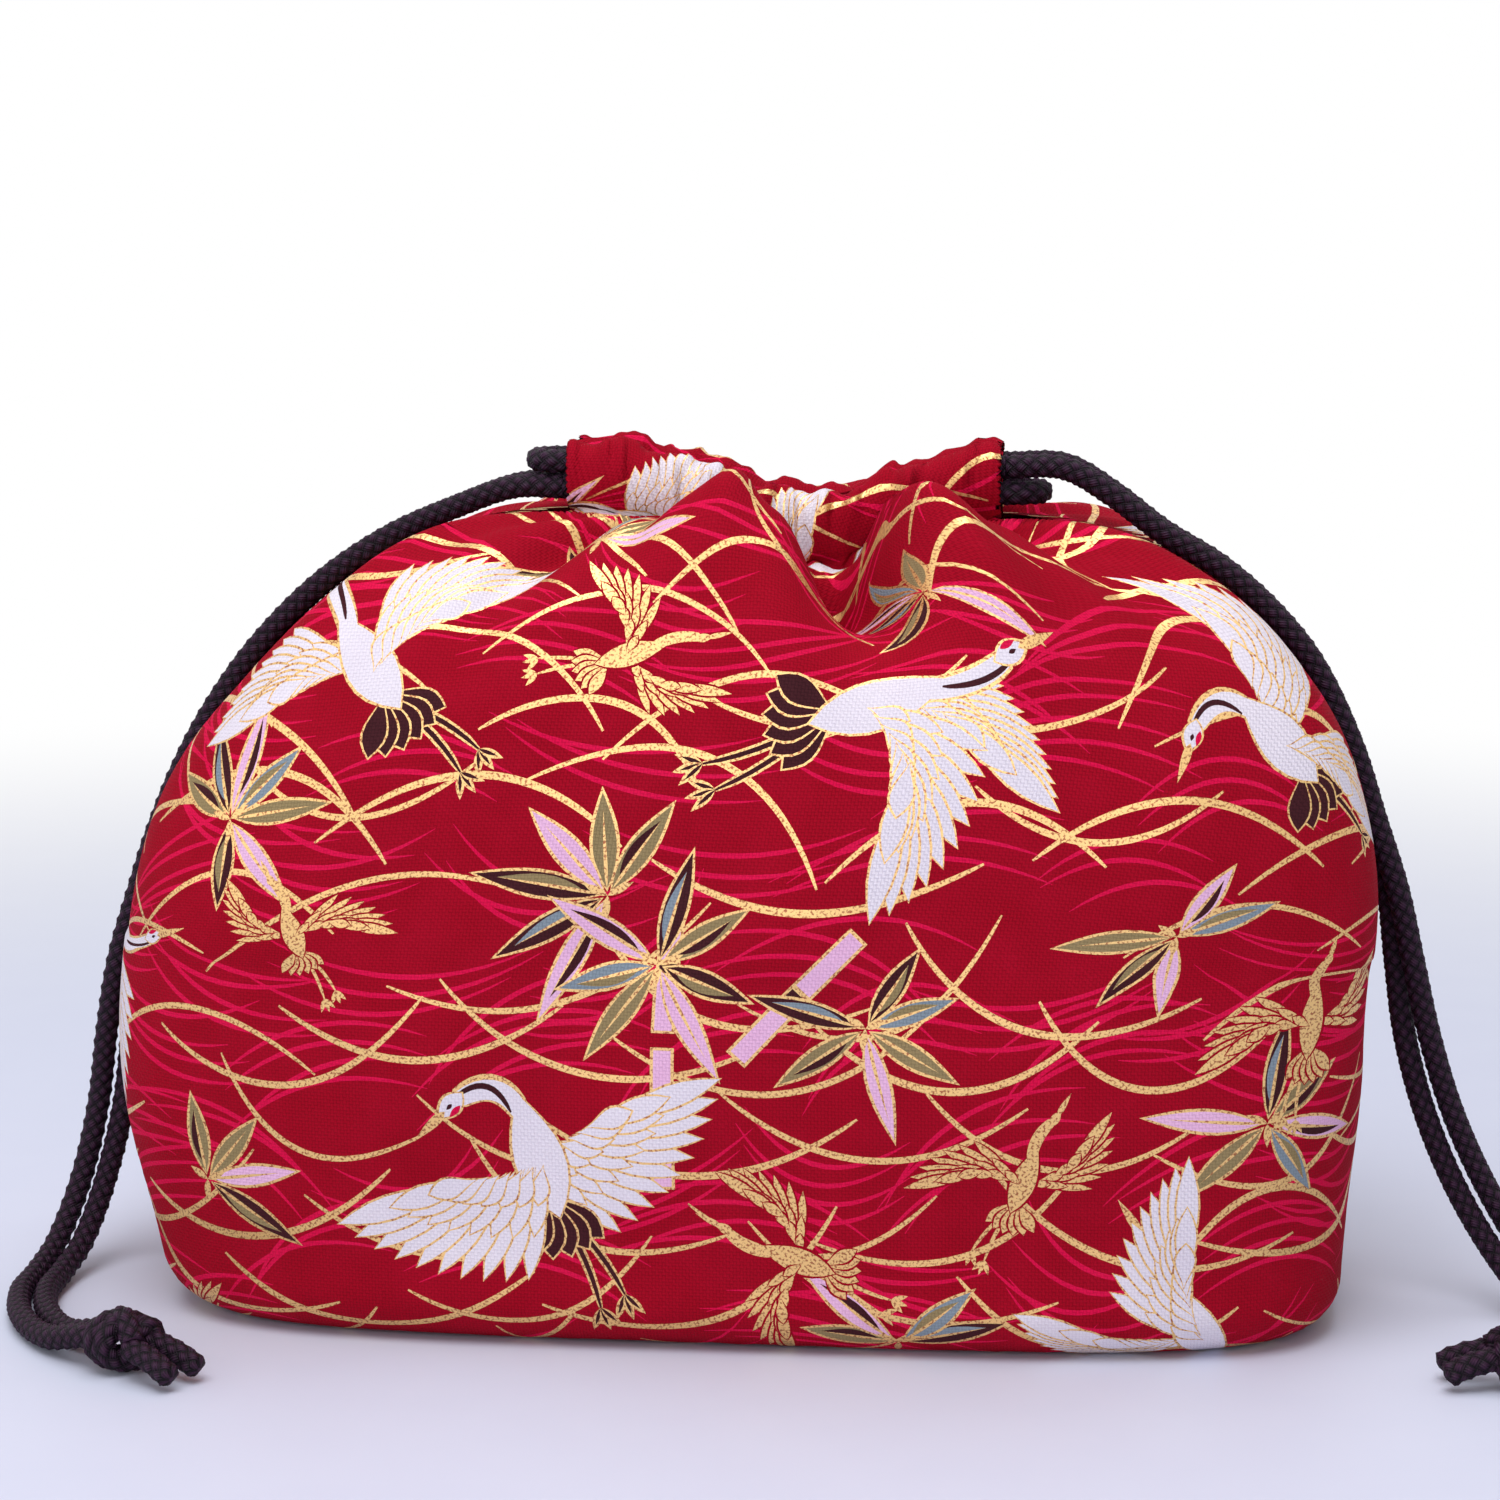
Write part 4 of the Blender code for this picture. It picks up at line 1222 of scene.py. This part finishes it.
def braided_polyester():
    made, tree = new_material("braided polyester")
    place = add_node(tree, "ShaderNodeUVMap", uv_map=BRAID_UV).outputs["UV"]
    parts = add_node(tree, "ShaderNodeSeparateXYZ", {0: place}).outputs
    one = calculate(tree, "ADD", parts["X"], parts["Y"])
    other = calculate(tree, "SUBTRACT", parts["X"], parts["Y"])
    slants, tops = [], []
    for way in (one, other):
        wave = calculate(tree, "COSINE", calculate(tree, "MULTIPLY", way, math.pi))
        tops.append(calculate(tree, "ABSOLUTE", wave))
        fine = calculate(tree, "MULTIPLY", way, 2.0 * THREADS_IN_STITCH * math.pi)
        slants.append(calculate(tree, "SINE", fine))
    stitch = calculate(tree, "MULTIPLY", *tops)
    both = add_node(tree, "ShaderNodeCombineXYZ", {"X": one, "Y": other}).outputs[0]
    to_middles = {0: both, 1: (0.5, 0.5, 0.25)}
    middles = add_node(tree, "ShaderNodeVectorMath", to_middles, operation="ADD").outputs[0]
    turns = add_node(tree, "ShaderNodeTexChecker", {"Vector": middles, "Scale": 1.0}).outputs["Fac"]
    laid = {"Factor": turns, "A": slants[0], "B": slants[1]}
    threads = add_node(tree, "ShaderNodeMix", laid).outputs["Result"]
    height = calculate(tree, "MULTIPLY_ADD", threads, 0.22, stitch)
    # Painted shade: the colour darkens into the hollows between the stitches and threads.
    painted_hollow_shade = stretch(tree, height, 0.0, 1.1)
    shader = principled(
        tree,
        Base_Color=mix_colours(tree, painted_hollow_shade, linear("#050307"), linear("#3A2038")),
        Normal=bump(tree, height, 0.9, 0.35 * MM),
        Roughness=0.55,
        IOR=1.55,
        Specular_IOR_Level=0.12,
    )
    surface(tree, shader)
    return made


BRAID = braided_polyester()
print("cord:", BRAID.name)

# %% [markdown]
# ## Making cord
# A cord is a tube along a line. Blender can give a curve a round section, but a braided surface needs
# a mesh of its own: rings of points set square to the line, with a side direction that is carried along
# so that the braid doesn't twist. A cut end is rounded off, as a hot knife leaves it.

# %% Braid a tube along a line
STITCHES, SIDES = 5, 25
STITCH_LENGTH = math.pi * CORD / STITCHES
RING_STEP = STITCH_LENGTH / 4
RELIEF = 0.5
END_ROUND = 0.9


def even_line(points):
    """The same line with a point at every quarter of a stitch."""
    points = np.array([tuple(p) for p in points])
    reach = np.concatenate([[0.0], np.cumsum(np.linalg.norm(np.diff(points, axis=0), axis=1))])
    at = np.linspace(0.0, reach[-1], max(3, round(reach[-1] / RING_STEP)) + 1)
    return np.stack([np.interp(at, reach, points[:, k]) for k in range(3)], axis=1), at


def braid_rings(middle, at, cut_ends):
    """The points of a tube, ring by ring, with its stitches raised."""
    ahead = np.gradient(middle, axis=0)
    ahead /= np.linalg.norm(ahead, axis=1)[:, None]
    aside = np.cross(ahead[0], (0.0, 0.0, 1.0) if abs(ahead[0][2]) < 0.9 else (0.0, 1.0, 0.0))
    angles = 2.0 * math.pi * np.arange(SIDES) / SIDES
    around = STITCHES * angles / (2.0 * math.pi)
    vertices = []
    for place, way, reach in zip(middle, ahead, at):
        aside = aside - way * np.dot(aside, way)
        aside /= np.linalg.norm(aside)
        other = np.cross(way, aside)
        along = reach / STITCH_LENGTH
        stitch = np.abs(np.cos(math.pi * (around + along)) * np.cos(math.pi * (around - along)))
        to_end = min(reach, at[-1] - reach)
        melted = 1.0 - min(1.0, to_end / END_ROUND) if cut_ends else 0.0
        cap = math.sqrt(max(0.05, 1.0 - melted**2))
        radius = (CORD / 2 + RELIEF * (stitch - 0.6)) * cap
        ring = np.cos(angles)[:, None] * aside + np.sin(angles)[:, None] * other
        vertices += [tuple(p) for p in (place + radius[:, None] * ring) * MM]
    return vertices


def braided_tube(name, lines, cut_ends=False):
    """One piece made of a stretch of braided cord along each line; cut ends are rounded off."""
    vertices, faces, uvs = [], [], []
    for line in lines:
        middle, at = even_line(line)
        first, count = len(vertices), len(middle)
        vertices += braid_rings(middle, at, cut_ends)
        for i in range(count - 1):
            for s in range(SIDES):
                low, high = first + i * SIDES, first + (i + 1) * SIDES
                after = (s + 1) % SIDES
                faces.append((low + s, low + after, high + after, high + s))
                u, v = STITCHES * s / SIDES, at[i] / STITCH_LENGTH
                step, rise = STITCHES / SIDES, (at[i + 1] - at[i]) / STITCH_LENGTH
                uvs += [(u, v), (u + step, v), (u + step, v + rise), (u, v + rise)]
        for start, order in ((first, -1), (first + (count - 1) * SIDES, 1)):
            faces.append(tuple(start + s for s in range(SIDES))[::order])
            uvs += [(0.0, 0.0)] * SIDES
    mesh = bpy.data.meshes.new(name)
    mesh.from_pydata(vertices, [], faces)
    mesh.shade_smooth()
    layer = mesh.uv_layers.new(name=BRAID_UV)
    layer.data.foreach_set("uv", np.array(uvs, float).ravel())
    mesh.materials.append(BRAID)
    return add_object(name, mesh)


print(f"braid: {STITCHES} stitches of {STITCH_LENGTH:.1f} mm around the cord")

# %% [markdown]
# ## The held loops
# Inside the hem each cord runs along the front, turns beyond the far end and comes back along the
# rear. Only the turns show. The left cord lies low in the channel and the right cord above it.

# %% Thread the cords through the hem
HEM_STEPS, TURN_STEPS = 24, 16


def hem_line(side, level):
    """A cord's middle inside one hem, from left to right."""
    points = []
    for step in range(HEM_STEPS + 1):
        place = step / HEM_STEPS - 0.5
        spot, after = (Vector([float(v) for v in mouth_place(a)]) for a in (place, place + 0.01))
        along = Vector((after.x - spot.x, 0.0, after.z - spot.z)).normalized()
        lift_x, lift_z = -level * along.z, level * along.x
        middle = spot + Vector((MOUTH_OFFSET + lift_x, 0.0, CASING_HEIGHT / 2 + lift_z))
        points.append(Vector((middle.x, side * (SEAM_GAP / 2 + middle.y), middle.z)))
    return points


# How far a cord reaches out of the hem, and the gaps to its free strand and from that to the knot.
CORD_EXIT, EXIT_GAP, PIECE_GAP = 1.0, 0.05, 0.45


def hem_exit(end, side, level):
    return hem_line(side, level)[0 if end < 0 else -1] + Vector((end * CORD_EXIT, 0.0, 0.0))


def held_loop(name, end, level):
    """The stretch of a cord inside the hem, round the far end and back."""
    front, back = hem_line(-1, level), hem_line(1, level)
    if end > 0:
        front.reverse()
        back.reverse()
    turn_from = hem_exit(-end, -1, level)
    radius = -turn_from.y
    turn = []
    for step in range(1, TURN_STEPS):
        angle = math.pi * step / TURN_STEPS
        reach = Vector((-end * radius * math.sin(angle), -radius * math.cos(angle), 0.0))
        turn.append(Vector((turn_from.x, 0.0, turn_from.z)) + reach)
    line = [hem_exit(end, -1, level), *front, turn_from, *turn, hem_exit(-end, 1, level), *back[::-1]]
    return braided_tube(name, [line + [hem_exit(end, 1, level)]])


for name, end, level in (("left", -1, -CORD_LEVEL), ("right", 1, CORD_LEVEL)):
    loop = sewn_in(held_loop(f"{name}_held_cord", end, level), f"{name}_cord_loop")
    print(f"{loop.name}: {len(loop.data.polygons)} faces")

# %% [markdown]
# ## Knots and tails
# Both strands of a side are tied together in one overhand knot. Drawn tight, it shows as slanting
# wraps around the pair, with one strand crossing over them, and the two cut ends stick out beyond it.

# %% Tie the knots
KNOT_TURNS, KNOT_START, WRAP_SLANT = 2.2, 0.6, 1.5
CROSSING_SPREAD, CROSSING_LOW, CROSSING_RISE = 5.0, 1.2, 3.4
TAIL_START, TAIL_EXTRA = 1.5, 1.9
WRAP_STEPS, CROSSING_STEPS, TAIL_STEPS = 96, 24, 12


def knot_lines(tied):
    """The wraps of a tight overhand knot, and the strand that crosses over them."""
    wraps, crossing = [], []
    inner = CORD / 2 - 0.2
    for step in range(WRAP_STEPS + 1):
        share = step / WRAP_STEPS
        angle = 2.0 * math.pi * KNOT_TURNS * share + KNOT_START
        tuck = float(smooth(min(share, 1.0 - share) / 0.09))
        out = 0.35 + 0.65 * tuck
        along = (KNOT_LENGTH - CORD) * (share - 0.5) + WRAP_SLANT * math.cos(angle)
        across = (KNOT_WIDTH / 2 - inner) * out * math.cos(angle)
        up = (KNOT_HEIGHT / 2 - inner) * out * math.sin(angle)
        wraps.append(beside_knot(tied, along, across, up))
    for step in range(CROSSING_STEPS + 1):
        share = step / CROSSING_STEPS
        along, across = KNOT_LENGTH * (share - 0.5), CROSSING_SPREAD * (0.5 - share)
        up = CROSSING_LOW + CROSSING_RISE * math.sin(math.pi * share)
        crossing.append(beside_knot(tied, along, across, up))
    return [wraps, crossing]


def tail_line(tied, length, side):
    """The middle of a cut end, from inside the knot down to the floor."""
    points = []
    for step in range(TAIL_STEPS + 1):
        share = step / TAIL_STEPS
        across = side * KNOT_SPREAD * (1.0 + 0.3 * share)
        drop = (KNOT_HEIGHT - CORD) / 2 * share**2
        along = KNOT_LENGTH / 2 - TAIL_START + (length + TAIL_EXTRA) * share
        points.append(beside_knot(tied, along, across, -drop))
    return points


def strand_line(end, side, level, route, tied):
    """A free strand's middle, from the hem along its route to the knot."""
    points = [hem_exit(end, side, level) + Vector((end * EXIT_GAP, 0.0, 0.0))]
    for (x, y, z), (spread_x, spread_y) in route:
        points.append(Vector((x - side * spread_x, y - side * spread_y, z)))
    entry, across = -KNOT_LENGTH / 2 - PIECE_GAP, -end * side * KNOT_SPREAD
    points.append(beside_knot(tied, entry - KNOT_APPROACH, across))
    return smooth_line(points) + [beside_knot(tied, entry, across)]


print(f"a knot: {KNOT_LENGTH:.0f} x {KNOT_WIDTH:.0f} x {KNOT_HEIGHT:.0f} mm")

# %% [markdown]
# ## The free strands
# Each strand is a cord of its own, from the hem to the knot. Its length is printed.

# %% Hang the strands
for name, end, level, route, tied, cut in (
    ("left", -1, -CORD_LEVEL, LEFT_ROUTE, LEFT_KNOT, 12.0),
    ("right", 1, CORD_LEVEL, RIGHT_ROUTE, RIGHT_KNOT, 10.0),
):
    knot = sewn_in(braided_tube(f"{name}_knot_wraps", knot_lines(tied)), f"{name}_knot")
    for side, side_name in ((-1, "front"), (1, "back")):
        tail = braided_tube(f"{name}_cut_end_{side_name}", [tail_line(tied, cut, side)], cut_ends=True)
        sewn_in(tail, f"{name}_tail_{side_name}")
        line = strand_line(end, side, level, route, tied)
        strand = braided_tube(f"{name}_cord_{side_name}", [line])
        sewn_in(strand, f"{name}_strand_{side_name}")
        length = sum((b - a).length for a, b in zip(line, line[1:]))
        print(f"{name} {side_name} strand: {length:.0f} mm")

# %% [markdown]
# ## Floor
# The bag stands on a plain pale floor that runs into a white background. The floor keeps the soft
# shadow near the bag, and further out it fades to plain white for the camera alone, so no extra light
# falls on the cloth.

# %% Lay the floor
FLOOR_REACH = 6.0
FADE_START, FADE_END = 0.25, 0.95


def pale_floor():
    """A matt floor that turns to plain white with its distance from the bag, for the camera alone."""
    made, tree = new_material("pale floor")
    place = add_node(tree, "ShaderNodeNewGeometry").outputs["Position"]
    away = add_node(tree, "ShaderNodeVectorMath", {0: place}, operation="LENGTH").outputs["Value"]
    fade = stretch(tree, away, FADE_START, FADE_END, interpolation_type="SMOOTHSTEP")
    rays = add_node(tree, "ShaderNodeLightPath").outputs
    seen = calculate(tree, "MULTIPLY", rays["Is Camera Ray"], fade)
    tint = mix_colours(tree, noise(tree, place, 40.0, 2.0), linear("#CACEE3"), linear("#CED2E6"))
    matt = principled(tree, Base_Color=tint, Roughness=0.6)
    white = add_node(tree, "ShaderNodeEmission", {"Strength": 1.0}).outputs[0]
    surface(tree, add_node(tree, "ShaderNodeMixShader", {0: seen, 1: matt, 2: white}).outputs[0])
    return made


floor_mesh = bpy.data.meshes.new("floor")
corner_signs = ((-1, -1), (1, -1), (1, 1), (-1, 1))
floor_corners = [(x * FLOOR_REACH, y * FLOOR_REACH, 0.0) for x, y in corner_signs]
floor_mesh.from_pydata(floor_corners, [], [(0, 1, 2, 3)])
floor_mesh.materials.append(pale_floor())
floor = add_object("floor", floor_mesh)
print("floor:", 2 * FLOOR_REACH, "m across")

# %% [markdown]
# ## Light
# Small hard lamps would give sharp shadows, so the lamps are wide discs. A large one above and in front
# gives the lit shoulders, a second one lights the gathers from above, and two more, in front and to
# the left, fill in the low shadows. The world gives a dim even light, and is white where it is seen.

# %% Hang the lights
LAMPS_AIM = Vector((0.0, 0.0, 0.09))
WHITE = (1.0, 1.0, 1.0, 1.0)


def soft_lamp(name, place, size, power):
    data = bpy.data.lights.new(name, "AREA")
    data.shape = "DISK"
    data.size = size
    data.energy = power
    lamp = add_object(name, data)
    lamp.location = place
    lamp.rotation_euler = (LAMPS_AIM - Vector(place)).to_track_quat("-Z", "Y").to_euler()


# Places and sizes are in metres, and powers in watts.
soft_lamp("key light", (-0.15, -0.6, 1.45), 1.1, 14.5)
soft_lamp("fill light", (-1.3, -0.8, 0.5), 1.2, 3.5)
soft_lamp("top light", (0.2, 0.25, 1.5), 0.9, 6.0)
soft_lamp("front light", (0.0, -1.6, 0.4), 1.4, 8.0)

world = bpy.data.worlds.new("studio")
world.use_nodes = True
bpy.context.scene.world = world
sky = world.node_tree
sky.nodes.clear()
rays = add_node(sky, "ShaderNodeLightPath").outputs
dim = add_node(sky, "ShaderNodeBackground", {"Color": WHITE, "Strength": 0.34}).outputs[0]
plain_white = add_node(sky, "ShaderNodeBackground", {"Color": WHITE, "Strength": 1.0}).outputs[0]
mirrored = calculate(sky, "MAXIMUM", rays["Is Camera Ray"], rays["Is Glossy Ray"])
shown = calculate(sky, "MAXIMUM", mirrored, rays["Is Transmission Ray"])
both = add_node(sky, "ShaderNodeMixShader", {0: shown, 1: dim, 2: plain_white}).outputs[0]
add_node(sky, "ShaderNodeOutputWorld", {"Surface": both})

# %% [markdown]
# ## Closing the scene
# The colours are shown as written, with the standard view transform, and the scene is brought up to
# date.

# %% Finish the scene
bpy.context.scene.view_settings.view_transform = "Standard"
bpy.context.view_layer.update()
